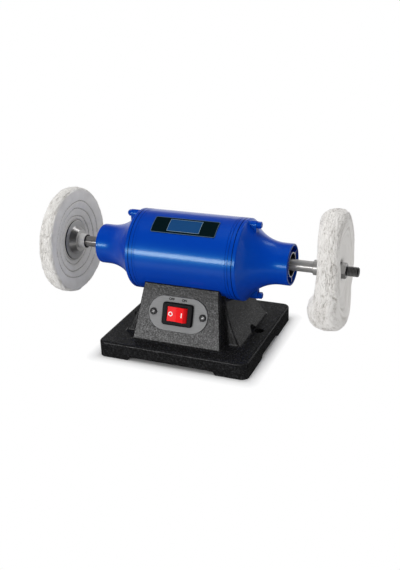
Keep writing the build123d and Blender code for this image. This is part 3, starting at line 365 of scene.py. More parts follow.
dress(sprayed_enamel("tube_enamel", 0.5, 0.55), "motor_tube", "tie_bolts", "tie_nuts")
dress(sprayed_enamel("bell_enamel", 0.45, 0.3), "left_end_bell", "right_end_bell")

# %% [markdown]
# ## Machined faces of the bells
#
# After painting, the front edge of each shaft tunnel and its ribs were faced on a lathe. The tunnel
# itself is painted near-black as painted shade. Where a bell meets the tube, two narrow grooves run round
# it, and their faces are painted dark blue as painted shade. They could be pieces of their own. Here the
# faces are picked by their distance from the axle and get their own material slots, so the bells keep
# their meshes.

# %% Finishes with a wandering roughness, and faces sorted into slots
def machine_grain(tree, scale, detail=3.0, stretch=(1, 1, 1)):
    return grain(tree, machine_coordinates(tree, stretch), scale, detail)


def vary_roughness(tree, shader, scale, low, high, **pattern):
    feed(shader, "Roughness", spread(tree, machine_grain(tree, scale, **pattern), low, high))


def mottled(name, colour, roughness, scale, low, high, metallic=0.0, specular=0.5, **pattern):
    """A finish in one colour, with a roughness that wanders between low and high."""
    material, tree, shader = new_finish(name, colour, roughness, metallic, specular)
    vary_roughness(tree, shader, scale, low, high, **pattern)
    return material


def sort_faces(name, finishes, pick):
    """Adds finishes to a node; pick says for each face which slot it takes, 0 for the first finish."""
    mesh = nodes[name].data
    for finish in finishes:
        mesh.materials.append(finish)
    for face in mesh.polygons:
        face.material_index = pick(face)
    print(name, "polygons per finish", np.bincount([face.material_index for face in mesh.polygons]))


def from_axle(point):
    return math.hypot(point.y, point.z - axle_height)


# %% Faced edges, dark tunnels and seams
faced_pattern = {"detail": 2.0, "stretch": (30, 900, 900)}
faced_edge = mottled("faced_edge", (0.66, 0.66, 0.67), 0.34, 1.0, 0.26, 0.44, metallic=1.0, **faced_pattern)
# Painted shade: the tunnel bore is painted near-black.
tunnel_painted_shade = mottled("tunnel_painted_shade", (0.006, 0.006, 0.007), 0.5, 500, 0.4, 0.6, specular=0.3)
# Painted shade: the faces of the two seam grooves are painted dark blue.
seam_painted_shade = mottled("seam_painted_shade", (0.0, 0.006, 0.05), 0.5, 500, 0.4, 0.6, specular=0.1)
tunnel_bore = 0.0150
nose_reach = 0.0245
rib_step = 0.0021
seam_from, seam_to = 0.0668, 0.0735
seam_floor, seam_rim = 0.0530, 0.05482
edge_tolerance = 0.0003
nose_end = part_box("right_end_bell")[1].x


def bell_slot(face):
    out = from_axle(face.center)
    along = abs(face.center.x)
    flat = abs(face.normal.x)
    if out < tunnel_bore + edge_tolerance and flat < 0.5:
        return 2
    if nose_end - along < rib_step and flat > 0.9 and out < nose_reach:
        return 1
    return 3 if seam_from < along < seam_to and seam_floor < out < seam_rim else 0


for name in ("left_end_bell", "right_end_bell"):
    sort_faces(name, (faced_edge, tunnel_painted_shade, seam_painted_shade), bell_slot)

# %% [markdown]
# ## Turned steel
#
# The spindle was turned, so its tool marks run round it. They are too fine to be cut into the mesh: noise
# that is stretched thin along X gives rings, and an anisotropic highlight is drawn out across them. Past
# the flanges the thread is blackened, which the spindle's finish reads from its own length coordinate.
# The left end lies in the sewn buff's shade, so its faces get a second, darker finish as painted shade,
# which mirrors more and scatters less.

# %% Turned steel for the spindle
blackening = (0.045, 0.045, 0.046)
blackening_fade = 0.0005
quarter_turn = 0.25


def turned_steel(name, colour, roughness, metallic, drawn_out=0.0, dark_from=None):
    material, tree, shader = new_finish(name, colour, roughness, metallic)
    rings = machine_grain(tree, 1.0, detail=2.0, stretch=(2600, 25, 25))
    feed(shader, "Roughness", spread(tree, rings, roughness - 0.05, roughness + 0.08))
    raise_surface(tree, shader, rings, depth=0.00001)
    shader.inputs["Anisotropic"].default_value = drawn_out
    shader.inputs["Anisotropic Rotation"].default_value = quarter_turn
    round_axle = tree.nodes.new("ShaderNodeTangent")
    round_axle.direction_type = "RADIAL"
    round_axle.axis = "X"
    feed(shader, "Tangent", round_axle.outputs["Tangent"])
    if dark_from:
        along = math_node(tree, "ABSOLUTE", part_of(tree, machine_coordinates(tree), "X"))
        edge = spread(tree, along, 0.0, 1.0, dark_from, dark_from + blackening_fade)
        feed(shader, "Base Color", blend_colours(tree, edge, [(0.0, colour), (1.0, blackening)]))
    return material


thread_start = 0.198
shaft_colour, left_shade_colour = (0.66, 0.65, 0.63), (0.40, 0.39, 0.38)
shaft_steel = turned_steel("shaft_steel", shaft_colour, 0.34, 0.72, drawn_out=0.8, dark_from=thread_start)
dress(shaft_steel, "spindle_shaft")
# Painted shade: a darker steel for the left end of the spindle.
left_painted_shade_steel = turned_steel("left_painted_shade_steel", left_shade_colour, 0.30, 0.88, drawn_out=0.8)
sort_faces("spindle_shaft", [left_painted_shade_steel], lambda face: int(-thread_start < face.center.x < 0))

# %% [markdown]
# ## Nuts and washers
#
# The upper flats of the nuts and washers are painted lighter and the lower ones darker, as painted light
# and shade, and the foot next to the buff is painted dark as painted shade. The finish reads which way a
# face points and how near it lies to the buff, so nothing has to be painted by hand.

# %% Nuts with painted light on their flats and painted shade at the foot
nut_steel, tree, shader = new_finish("nut_steel", (0.4, 0.4, 0.4), 0.2, 1.0)
facing_up = part_of(tree, tree.nodes.new("ShaderNodeTexCoord").outputs["Normal"], "Z")
# Painted light and shade: faces that point up are lighter, faces that point down darker.
top_painted_light = spread(tree, facing_up, 0.07, 0.48, from_low=-1.0, from_high=0.6)
nut_low, nut_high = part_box("right_arbor_nut")
# Painted shade: the foot next to the buff is darker.
foot_shade_to, foot_shade_clear_from = nut_low.x + 0.0016, nut_low.x + 0.0024
from_middle = math_node(tree, "ABSOLUTE", part_of(tree, machine_coordinates(tree), "X"))
foot_painted_shade = spread(tree, from_middle, 0.06, 1.0, foot_shade_to, foot_shade_clear_from)
feed(shader, "Base Color", math_node(tree, "MULTIPLY", top_painted_light, foot_painted_shade))
vary_roughness(tree, shader, 600, 0.16, 0.28)
dress(nut_steel, "left_arbor_nut", "right_arbor_nut", "left_clamp_washer", "right_clamp_washer")

# %% [markdown]
# ## Flanges
#
# Each flange is a dished steel disc with a collar. Its dome is polished, the flat ring round the dome and
# the collar are satin, and the rim and the collar's end are painted near-black as painted shade. The faces
# could be marked by hand. Here they are sorted by their distance from the axle and by how square to it
# they stand, which still holds when the solids are packed again.

# %% Flanges with a satin ring, a polished dome and an edge in painted shade
flange_steel = turned_steel("flange_steel", (0.68, 0.67, 0.66), 0.33, 0.95)
dress(flange_steel, "left_inner_flange", "right_inner_flange")
satin_ring = turned_steel("satin_ring", (0.52, 0.515, 0.505), 0.42, 0.55)
satin_collar = turned_steel("satin_collar", (0.84, 0.835, 0.82), 0.34, 0.52)
# Painted shade: the flange's rim and the collar's end are near-black.
flange_edge_painted_shade = mottled("flange_edge_painted_shade", (0.03, 0.03, 0.031), 0.5, 500, 0.4, 0.6, metallic=0.6)
flange_low, flange_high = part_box("left_inner_flange")
flange_reach = (flange_high.z - flange_low.z) / 2
rim_width = 0.0008
collar_reach = 0.0101
dome_foot = 0.0180
square_on = 0.98


def flange_slot(face):
    out = from_axle(face.center)
    flat = abs(face.normal.x)
    at_rim = out > flange_reach - rim_width and flat < 0.8
    if at_rim or (out < collar_reach and flat > square_on):
        return 3
    if out < collar_reach and flat < 0.2:
        return 2
    return int(flat > square_on and out > dome_foot)


for name, collar in (("left_inner_flange", satin_collar), ("right_inner_flange", shaft_steel)):
    sort_faces(name, (satin_ring, collar, flange_edge_painted_shade), flange_slot)

# %% [markdown]
# ## Plated and ground steel
#
# Cover, clamp, bolts and pads are zinc plated, which gives a dull spangled grey. The races and balls of
# the bearings are ground and mirror sharply. An image of spangles would have to be unwrapped onto every
# piece, so both are one metal shader with noise on its roughness.

# %% Plated and ground steel
zinc = mottled("zinc_plate", (0.55, 0.56, 0.55), 0.4, 140, 0.3, 0.5, metallic=1.0)
plated = ("bottom_cover", "bottom_cover_screws", "motor_mount_bolts", "motor_mount_pads", "capacitor_clamp")
dress(zinc, *plated, "capacitor_clamp_screws", "bearing_retaining_rings")
race_steel = mottled("race_steel", (0.7, 0.7, 0.71), 0.16, 900, 0.12, 0.2, metallic=1.0, detail=2.0)
for end in ("left", "right"):
    dress(race_steel, f"{end}_bearing_outer_ring", f"{end}_bearing_inner_ring", f"{end}_ball_set")

# %% [markdown]
# ## The inside of the motor
#
# Core, coils, rotor and the electrical pieces sit out of sight, but a cut-away or an exploded view shows
# them, so each has its finish: stacked sheet for the cores, varnished copper for the coils, rough cast
# alloy for the rotor's rings and the can. Sheets and turns could be modelled one by one; noise that is
# stretched along them raises the surface as well.

# %% Finishes inside
def grained(name, colour, roughness, scale, depth, metallic=0.0, specular=0.5, **pattern):
    """A finish in one colour, with noise that raises its surface."""
    material, tree, shader = new_finish(name, colour, roughness, metallic, specular)
    raise_surface(tree, shader, machine_grain(tree, scale, **pattern), depth)
    return material


sheets = {"detail": 1.0, "stretch": (2000, 4, 4)}
turns = {"detail": 2.0, "stretch": (900, 260, 260)}
stacked_sheet = grained("stacked_sheet", (0.2, 0.2, 0.21), 0.5, 1.0, 0.0001, metallic=0.8, **sheets)
dress(stacked_sheet, "stator_core", "rotor_core")
copper = grained("varnished_copper", (0.5, 0.17, 0.06), 0.35, 1.0, 0.0004, metallic=0.6, **turns)
dress(copper, "stator_windings")
dress(grained("cast_alloy", (0.7, 0.7, 0.7), 0.45, 700, 0.0001, metallic=1.0), "rotor_end_rings", "capacitor")
dress(mottled("stamped_brass", (0.62, 0.47, 0.2), 0.3, 400, 0.22, 0.4, metallic=1.0), "switch_terminals")
rubber = grained("black_rubber", (0.018, 0.018, 0.018), 0.6, 900, 0.00008, specular=0.3)
dress(rubber, "motor_lead_grommet", "cord_inlet_bush")

# %% [markdown]
# ## Switch
#
# A satin grey plate carries a black bezel and a bright red rocker. The plastic has a faint moulded
# texture, and the plate is brushed along its length. Neither is coarse enough to be modelled, so noise
# raises the plastic a little, and noise that is stretched along X draws the brush marks.

# %% Switch finishes
plate_grey, tree, shader = new_finish("satin_grey_plate", (0.19, 0.192, 0.195), 0.42, specular=0.45)
brushed = machine_grain(tree, 1.0, detail=2.0, stretch=(40, 1400, 1400))
brushed_tones = [(0.3, (0.17, 0.172, 0.175)), (0.7, (0.21, 0.212, 0.215))]
feed(shader, "Base Color", blend_colours(tree, brushed, brushed_tones))
feed(shader, "Roughness", spread(tree, brushed, 0.4, 0.52))
raise_surface(tree, shader, brushed, depth=0.00002)
dress(plate_grey, "switch_plate")
black_plastic = grained("black_plastic", (0.005, 0.005, 0.006), 0.42, 1500, 0.00004, specular=0.08)
dress(black_plastic, "switch_housing", "terminal_block")
screw_black = mottled("blackened_screw", (0.006, 0.006, 0.007), 0.35, 800, 0.28, 0.45, specular=0.2)
dress(screw_black, "switch_plate_screws")
dress(grained("rocker_red", (0.84, 0.008, 0.012), 0.4, 1200, 0.00003, specular=0.12), "rocker")

# %% [markdown]
# ## The sloping panel
#
# The switch sits on a sloping panel, so a place on it is given as across and up from the rocker's pivot.
# A mark could be laid there by eye. Here a line square to the panel is shot at the node that carries the
# mark, and the mark lies where the line meets it, turned to face as the surface does, so it also sits
# right on the slanted half of the rocker.

# %% Places on the sloping panel
rocker_joint = next(joint for joint in frame["joints"] if joint["name"] == "rocker_tilt")
pivot = Vector(rocker_joint["pos_m"])
panel_up = Vector(rocker_joint["axis"]).normalized()
panel_out = Vector((1, 0, 0)).cross(panel_up)
ink_lift = 0.00002
ink_thickness = 0.00012
shot_distance = 0.05
print("panel faces", [round(v, 3) for v in panel_out])


def seat_on(node, across, up):
    start = pivot + Vector((across, 0, 0)) + panel_up * up + panel_out * shot_distance
    _, place, normal, _ = nodes[node].ray_cast(start, -panel_out)
    side = panel_up.cross(normal).normalized()
    turn = Matrix((side, normal.cross(side), normal)).transposed().to_4x4()
    return Matrix.Translation(place + normal * ink_lift) @ turn


# %% [markdown]
# ## Edge of the plate and recesses of its screws
#
# The plate's edge is painted near-black as painted shade, and the driver's cross in each screw is worn to
# bare steel. Both could be split off, but plate and screws stay whole: the faces are picked by where they
# lie on the panel and get a second material.

# %% Dark edge of the plate, bright recesses of its screws
# Painted shade: the plate's side faces are near-black.
plate_edge = mottled("dark_plate_edge", (0.008, 0.008, 0.009), 0.5, 500, 0.4, 0.6, specular=0.2)
sort_faces("switch_plate", [plate_edge], lambda face: int(abs(face.normal.dot(panel_out)) < 0.7))
recess_steel = mottled("bare_recess", (0.16, 0.16, 0.16), 0.3, 900, 0.22, 0.4, metallic=0.8)
recess_reach = 0.0025
recess_top, recess_floor = 0.0001, 0.0013
screw_points = [vertex.co - pivot for vertex in nodes["switch_plate_screws"].data.vertices]
head_top = max(point.dot(panel_out) for point in screw_points)
head_reach = max(point.dot(panel_up) for point in screw_points)
head_across = max(point.x for point in screw_points) - head_reach


def in_recess(face):
    place = face.center - pivot
    from_axis = math.hypot(abs(place.x) - head_across, place.dot(panel_up))
    below = head_top - place.dot(panel_out)
    return int(from_axis < recess_reach and recess_top < below < recess_floor)


sort_faces("switch_plate_screws", [recess_steel], in_recess)
print("screw heads at", round(head_across, 4), "m, radius", round(head_reach, 4))


# %% [markdown]
# ## Skins
#
# Prints, screw threads, cloth and stitches are made in one way, as a skin over rows of points. Each row
# is joined to the next by a band of faces. A skin that closes joins its last row to its first, as a ring
# does; any other gets a cap at both ends, as a rod has. Modifiers could sweep such forms too, but rows of
# numbers can be pushed about freely before the faces are made.

# %% Skins over rows of points
def skin(name, blocks, closed, smooth=False):
    """One mesh over blocks of rows of points, with all faces turned outward."""
    points, faces = [], []
    for block in blocks:
        rows, columns = block.shape[:2]
        index = np.arange(rows * columns).reshape(rows, columns) + len(points)
        above = index if closed else index[:-1]
        below = np.roll(index, -1, axis=0) if closed else index[1:]
        quads = np.stack([above, np.roll(above, -1, axis=1), np.roll(below, -1, axis=1), below], axis=-1)
        faces += quads.reshape(-1, 4).tolist()
        if not closed:
            faces += [index[0][::-1].tolist(), index[-1].tolist()]
        points += block.reshape(-1, 3).tolist()
    mesh = bpy.data.meshes.new(name)
    mesh.from_pydata(points, [], faces)
    form = bmesh.new()
    form.from_mesh(mesh)
    bmesh.ops.recalc_face_normals(form, faces=list(form.faces))
    form.to_mesh(mesh)
    form.free()
    mesh.validate()
    if smooth:
        mesh.shade_smooth()
    return mesh


def add_piece(name, mesh, material, body):
    mesh.materials.clear()
    mesh.materials.append(material)
    piece = bpy.data.objects.new(name, mesh)
    bpy.context.scene.collection.objects.link(piece)
    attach(piece, body)
    print(name, len(mesh.polygons), "faces on", body)
    return piece


# %% [markdown]
# ## Marks on the switch
#
# The rocker carries the usual ring and bar, and the plate the two words above it. An image could print
# them. Here each mark is a thin raised print with its own mesh, which stays sharp at any distance and
# rides on its own body.

# %% Ring and bar on the rocker
def circle(radius, count=64):
    angles = np.linspace(0, 2 * math.pi, count, endpoint=False)
    return [(radius * math.cos(a), radius * math.sin(a)) for a in angles]


def soft_bar(width, height, corner, count=6):
    points = []
    for quarter, (sx, sy) in enumerate(((1, 1), (-1, 1), (-1, -1), (1, -1))):
        for a in np.linspace(0, math.pi / 2, count):
            angle = a + quarter * math.pi / 2
            x = sx * (width / 2 - corner) + corner * math.cos(angle)
            points.append((x, sy * (height / 2 - corner) + corner * math.sin(angle)))
    return points


def at_height(loop, height):
    return np.column_stack([loop, np.full(len(loop), height)])


def band(outer, inner, height):
    """Rows of a flat band between two loops, which closes like a ring."""
    edges = ((outer, 0.0), (outer, height), (inner, height), (inner, 0.0))
    return np.array([at_height(loop, level) for loop, level in edges])


white_ink = mottled("white_ink", (0.88, 0.88, 0.87), 0.5, 700, 0.42, 0.6)
ring_rows = band(circle(0.0031), circle(0.0019), ink_thickness)
bar = soft_bar(0.0017, 0.0064, 0.0004)
bar_rows = np.array([at_height(bar, 0.0), at_height(bar, ink_thickness)])
rocker_marks = (("off_ring", ring_rows, True, -0.009), ("on_bar", bar_rows, False, 0.008))
for name, rows, closed, across in rocker_marks:
    mesh = skin(name, [rows], closed)
    mesh.transform(seat_on("rocker", across, 0.0))
    add_piece(name, mesh, white_ink, "rocker")


# %% Words on the plate
word_size = 0.0045
words_up = 0.0192
stroke_swell = 0.0002


def printed_word(name, word, place):
    letters = bpy.data.curves.new(name, "FONT")
    letters.body = word
    letters.size = word_size
    letters.align_x = "CENTER"
    letters.align_y = "CENTER"
    letters.extrude = ink_thickness / 2
    letters.offset = stroke_swell
    holder = bpy.data.objects.new(name, letters)
    mesh = bpy.data.meshes.new_from_object(holder)
    bpy.data.objects.remove(holder)
    mesh.name = name
    mesh.transform(place)
    return mesh


dark_ink = mottled("dark_ink", (0.006, 0.006, 0.006), 0.6, 700, 0.42, 0.6, specular=0.1)
for name, word, across in (("off_word", "OFF", -0.0106), ("on_word", "ON", 0.0074)):
    mesh = printed_word(name, word, seat_on("switch_plate", across, words_up))
    add_piece(name, mesh, dark_ink, "frame")

# %% [markdown]
# ## Name plate
#
# A dark plate is bent round the upper front of the motor. A thin pale line runs round its edge, and a
# plain blue panel with a light frame fills its middle. All three could be an image on the plate, but thin
# strips stay sharp: they are drawn as rounded loops on the flat plate and wrapped round the axle.

# %% Plate and loops on it
label_dark = mottled("dark_label", (0.001, 0.007, 0.009), 0.32, 60, 0.26, 0.36, specular=0.08)
dress(label_dark, "name_plate")
plate_points = [vertex.co for vertex in nodes["name_plate"].data.vertices]
plate_reach = max(from_axle(p) for p in plate_points)
plate_angles = [math.atan2(-p.y, p.z - axle_height) for p in plate_points]
plate_middle = (min(plate_angles) + max(plate_angles)) / 2
plate_half_height = plate_reach * (max(plate_angles) - min(plate_angles)) / 2
plate_half_length = max(p.x for p in plate_points)
sharpest_corner = 0.0002
print("name plate", round(plate_half_length * 2, 4), "by", round(plate_half_height * 2, 4))


def wrapped(loops):
    """Loops of (along, round, height) on the plate become points in the machine's frame."""
    out = plate_reach + loops[..., 2]
    angle = plate_middle - loops[..., 1] / plate_reach
    return np.stack([loops[..., 0], -out * np.sin(angle), axle_height + out * np.cos(angle)], axis=-1)


def finer(points, steps):
    """Cuts every side of a closed loop into equal steps, so that it bends with the tube."""
    points = np.array(points)
    shares = np.arange(steps)[None, :, None] / steps
    return (points[:, None] + shares * (np.roll(points, -1, axis=0) - points)[:, None]).reshape(-1, 2)


def loop_at(inset, half_length, half_height, corner):
    size = (2 * (half_length - inset), 2 * (half_height - inset))
    return finer(soft_bar(*size, max(corner - inset, sharpest_corner), 4), 14)


# %% Border, panel and frame
edge_line = mottled("edge_line", (0.07, 0.13, 0.2), 0.4, 300, 0.3, 0.5, metallic=0.1)
label_line = mottled("label_line", (0.16, 0.25, 0.33), 0.35, 300, 0.28, 0.45, metallic=0.1)
label_blue = mottled("label_blue", (0.007, 0.053, 0.165), 0.35, 90, 0.3, 0.42, specular=0.05)
plate_rim = (plate_half_length, plate_half_height, 0.0025)
panel_rim = (0.0228, 0.0103, 0.0006)
panel_height = 0.00008
innermost = 0.98 * panel_rim[1]


def strip(name, rim, inset, width, height):
    rows = band(loop_at(inset, *rim), loop_at(inset + width, *rim), height)
    return skin(name, [wrapped(rows)], True)


border = strip("name_plate_border", plate_rim, inset=0.0002, width=0.0007, height=0.00012)
add_piece("name_plate_border", border, edge_line, "frame")
panel_rows = [at_height(loop_at(0.0, *panel_rim), 0.0)]
for inset in np.linspace(0.0, innermost, 8):
    panel_rows.append(at_height(loop_at(inset, *panel_rim), panel_height))
label_panel = skin("name_plate_panel", [wrapped(np.array(panel_rows))], False)
add_piece("name_plate_panel", label_panel, label_blue, "frame")
panel_frame = strip("name_plate_frame", panel_rim, inset=0.0, width=0.0006, height=0.00016)
add_piece("name_plate_frame", panel_frame, label_line, "frame")

# %% [markdown]
# ## Threads on the spindle
#
# Each end of the spindle carries a coarse thread. It is one ridge that climbs round the end, with a flat
# crest and slanted flanks. A screw modifier could wind it, but this one also fades at both ends, where
# the tool ran out, so its rows are worked out step by step. The left thread is the mirror of the right
# one, so that neither nut works loose when the spindle turns.

# %% Threads
thread_pitch = 0.00175
thread_root = 0.0059
thread_crest = 0.00645
thread_foot_width = 0.0015
thread_crest_width = 0.0003
thread_gap = 0.0002
thread_short_of_end = 0.0018
fade_per_turn = 3
steps_per_turn = 30
thread_length = shaft_high.x - nut_high.x - thread_short_of_end


def thread_ridge(name, side):
    steps = int(thread_length / thread_pitch * steps_per_turn)
    travel = np.arange(steps + 1) / steps_per_turn
    fade = np.clip(np.minimum(travel, travel[-1] - travel) * fade_per_turn, 0, 1)
    crest = thread_root + (thread_crest - thread_root) * fade
    root = np.full_like(crest, thread_root)
    middle = nut_high.x + thread_foot_width / 2 + thread_gap + travel * thread_pitch
    foot, top = thread_foot_width / 2, thread_crest_width / 2
    angle = travel * 2 * math.pi
    loops = []
    for half_width, out in ((-foot, root), (-top, crest), (top, crest), (foot, root)):
        y, z = out * np.sin(angle), axle_height + out * np.cos(angle)
        loops.append(np.stack([side * (middle + half_width), y, z], axis=-1))
    return skin(name, [np.stack(loops, axis=1)], False)


blackened = mottled("blackened_thread", (0.24, 0.24, 0.242), 0.3, 900, 0.26, 0.42, metallic=0.8)
for side, name in ((-1, "left_thread"), (1, "right_thread")):
    add_piece(name, thread_ridge(name, side), blackened, "spindle")

# %% [markdown]
# ## Cloth for the buffs
#
# A buff is a stack of round cotton cloths, pinched at the hub and free at the rim. A cloth simulation or
# a coat of hair could make it. A swept skin is used here, because it gives the same shape each run and is
# one closed mesh: an outline in (distance along the spindle, radius) is swept round the axle, and every
# point is then pushed in or out by noise that is combed along the turn, as threads on a worn rim are. How
# far a point was pushed, how frayed the cloth is there and its place along the turn are stored on the
# mesh for the finish to read.

# %% Helpers for lines and bumps
def walk(knots, step):
    """Points at an even step along a line of knots, without its last point."""
    knots = np.array(knots, float)
    length = np.concatenate([[0], np.cumsum(np.hypot(*np.diff(knots, axis=0).T))])
    places = np.linspace(0, length[-1], max(int(length[-1] / step), 2), endpoint=False)
    return np.column_stack([np.interp(places, length, knots[:, i]) for i in (0, 1)])


def rounded(outline, passes):
    """Rounds the corners of a closed outline by averaging each point with its neighbours."""
    for _ in range(passes):
        outline = (np.roll(outline, 1, axis=0) + 2 * outline + np.roll(outline, -1, axis=0)) / 4
    return outline


def ease(value, low, high):
    """Rises smoothly from 0 to 1 between low and high."""
    t = np.clip((value - low) / (high - low), 0, 1)
    return t * t * (3 - 2 * t)


def hump(offset, width):
    """A smooth bump, 1 where the offset is 0."""
    return np.exp(-((offset / width) ** 2))


def swell(angle, middle, width):
    """A smooth bump round the turn; middle and width are degrees from the top towards the front."""
    return hump((np.degrees(angle) - middle + 180) % 360 - 180, width)


def plateau(angle, start, end, rise, fall):
    """A bump with a flat top; all four are degrees from the top towards the front."""
    degrees = np.degrees(angle)
    return ease(degrees, start, start + rise) * (1 - ease(degrees, end, end + fall))


# %% Helpers for frayed cloth
pattern_gap = 37.7
crack_width = 0.16


def combed(angle, travel, radius, length, width, pattern):
    """Noise drawn out along the turn: length and width are its grain, pattern picks another one."""
    around = radius / length
    across = travel / width + pattern_gap * pattern
    places = np.stack([around * np.cos(angle), around * np.sin(angle), across], axis=-1)
    return np.array([noise.noise(place) for place in places.reshape(-1, 3).tolist()]).reshape(angle.shape)


def dashes(angle, travel, radius, length, width, pattern):
    """Short narrow cracks where the noise changes sign, which come and go along the turn."""
    there = ease(combed(angle, travel, radius, length, 3 * width, pattern + 0.5), -0.15, 0.2)
    from_crack = np.abs(combed(angle, travel, radius, length, width, pattern))
    return there * -np.clip(1 - from_crack / crack_width, 0, 1)


def layered(layers, angle, travel, radius):
    """Adds up layers, each with its weight, kind, grain length, grain width and pattern."""
    return sum(weight * kind(angle, travel, radius, *grain_size) for weight, kind, *grain_size in layers)


# %% Outline to cloth
column_count = 380
column_angles = np.linspace(0, 2 * math.pi, column_count, endpoint=False)


def outline_grid(outline):
    """Repeats an outline round the turn: distance, radius, angle, travel along the outline, normal."""
    step = np.roll(outline, -1, axis=0) - np.roll(outline, 1, axis=0)
    step /= np.linalg.norm(step, axis=1)[:, None]
    lengths = np.hypot(*np.diff(outline, axis=0, prepend=outline[:1]).T)
    shape = (len(outline), column_count)
    rows = [outline[:, 0], outline[:, 1], np.cumsum(lengths), -step[:, 1], step[:, 0]]
    along, out, travel, normal_along, normal_out = (np.broadcast_to(row[:, None], shape) for row in rows)
    return along, out, np.broadcast_to(column_angles, shape), travel, normal_along, normal_out


def cloth_skin(name, side, along, out, angle, travel, depth, frayed):
    points = np.stack([side * along, -out * np.sin(angle), axle_height + out * np.cos(angle)], axis=-1)
    mesh = skin(name, [points], True, smooth=True)
    for kept, values in (("depth", depth), ("frayed", frayed)):
        mesh.attributes.new(kept, "FLOAT", "POINT").data.foreach_set("value", values.ravel())
    reach = out.max()
    comb = np.stack([reach * np.cos(angle), reach * np.sin(angle), travel], axis=-1)
    mesh.attributes.new("comb", "FLOAT_VECTOR", "POINT").data.foreach_set("vector", comb.ravel())
    return mesh


# %% Hub of the buffs
bore = 0.0064
hub_gap = 0.0002
rim_step, face_step, bore_step = 0.0005, 0.0008, 0.0012
washer_low, washer_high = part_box("left_clamp_washer")
washer_reach = (washer_high.z - washer_low.z) / 2
hub_inner = -flange_low.x + hub_gap
hub_outer = -washer_high.x - hub_gap
bore_line = [(hub_outer, bore), (hub_inner, bore)]
print("hub from", round(hub_inner, 4), "to", round(hub_outer, 4))

# %% [markdown]
# ## Cotton
#
# Unbleached cotton is a warm white. A picture of cloth could be wrapped round a buff, but it would smear
# on the frayed rim, so the finish is built from what the mesh stores. The weave is two crossed bands of
# fine waves, the stored depth turns cracks and grooves grey as painted shade, and thin lines along the
# turn are the single threads of the rim. A little sheen stands for the fuzz that catches light at the edges.

# %% Cotton finish
def stored(tree, name, output):
    """Reads a value that was stored on the mesh."""
    reader = tree.nodes.new("ShaderNodeAttribute")
    reader.attribute_name = name
    return reader.outputs[output]


def hairlines(tree, length, width, thickness):
    """Thin lines along the turn, 1 on a line and 0 between, on the frayed rim alone."""
    mapping = tree.nodes.new("ShaderNodeMapping")
    mapping.inputs["Scale"].default_value = (1 / length, 1 / length, 1 / width)
    mapping.inputs["Location"].default_value = (0.3, 0.3, 0.3)
    feed(mapping, "Vector", stored(tree, "comb", "Vector"))
    from_line = math_node(tree, "SUBTRACT", grain(tree, mapping.outputs["Vector"], 1.0, 1.0), 0.5)
    line = spread(tree, math_node(tree, "ABSOLUTE", from_line), 1.0, 0.0, 0.0, thickness)
    return math_node(tree, "MULTIPLY", line, stored(tree, "frayed", "Fac"))


def cotton(name, tones, line_share):
    material, tree, shader = new_finish(name, tones[-1][1], 0.85, specular=0.15)
    shader.inputs["Sheen Weight"].default_value = 0.15
    # Painted shade: the deeper a point was pushed in, the greyer its colour.
    pushed = spread(tree, stored(tree, "depth", "Fac"), 0.0, 1.0, -2.2 * millimetre, 1.2 * millimetre)
    mottle = grain(tree, machine_coordinates(tree), 160, 4.0, 0.6)
    tone_with_painted_shade = math_node(tree, "ADD", pushed, spread(tree, mottle, -0.09, 0.09))
    long_lines = hairlines(tree, 0.013, 0.0024, 0.035)
    short_lines = hairlines(tree, 0.008, 0.0016, 0.03)
    lines = math_node(tree, "MAXIMUM", long_lines, short_lines)
    tone_with_painted_shade = math_node(tree, "SUBTRACT", tone_with_painted_shade, math_node(tree, "MULTIPLY", lines, line_share))
    feed(shader, "Base Color", blend_colours(tree, tone_with_painted_shade, tones))
    raise_surface(tree, shader, lines, depth=-0.0006, strength=0.7)
    for way in ("Y", "Z"):
        weave = tree.nodes.new("ShaderNodeTexWave")
        weave.inputs["Scale"].default_value = 390
        weave.inputs["Distortion"].default_value = 1.5
        weave.bands_direction = way
        feed(weave, "Vector", machine_coordinates(tree))
        raise_surface(tree, shader, weave.outputs["Fac"], depth=0.00006, strength=0.6)
    return material


# The darkest tones are the painted shade in the deepest cracks, grooves and creases.
sewn_tones = [(0.05, (0.40, 0.38, 0.35)), (0.4, (0.68, 0.66, 0.63)), (0.68, (0.80, 0.785, 0.76))]
loose_tones = [(0.1, (0.38, 0.36, 0.33)), (0.4, (0.70, 0.675, 0.645)), (0.62, (0.85, 0.83, 0.805))]
sewn_cotton = cotton("sewn_cotton", sewn_tones, 0.3)
loose_cotton = cotton("loose_cotton", loose_tones, 0.34)
print("cotton finishes", sewn_cotton.name, loose_cotton.name)

# %% [markdown]
# ## The sewn buff on the left
#
# Rings of stitching hold its cloths together, so its faces are firm and nearly flat, with a shallow
# groove under each ring. Past the last ring the cloth is free: the face ripples, its edge leans in and
# out, and the rim frays. A brush could sculpt all this. Here ripple, groove, lean and fray are terms that
# are added up, so each can be changed alone.

# %% Sewn buff, outline
sewn_low, sewn_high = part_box("left_buff")
sewn_inner, sewn_outer = -sewn_high.x, -sewn_low.x
sewn_radius = (sewn_high.z - sewn_low.z) / 2
sewn_middle = (sewn_inner + sewn_outer) / 2
sewn_corner = sewn_radius - 0.0030
sewn_shoulder = sewn_radius - 0.0008
inner_face = [(hub_inner, bore), (hub_inner, flange_reach + 0.0008), (sewn_inner + 0.0004, 0.054)]
inner_face += [(sewn_inner, 0.061), (sewn_inner, sewn_corner)]
rim = [inner_face[-1], (sewn_inner + 0.0022, sewn_shoulder), (sewn_middle, sewn_radius)]
rim += [(sewn_outer - 0.0022, sewn_shoulder), (sewn_outer, sewn_corner)]
outer_face = [rim[-1], (sewn_outer, 0.036), (hub_outer + 0.0016, 0.02), (hub_outer, washer_reach + 0.0008)]
outer_face += [(hub_outer, bore)]
parts = [walk(inner_face, rim_step), walk(rim, rim_step), walk(outer_face, face_step)]
parts += [walk(bore_line, bore_step)]
along, out, angle, travel, normal_along, normal_out = outline_grid(rounded(np.concatenate(parts), 2))
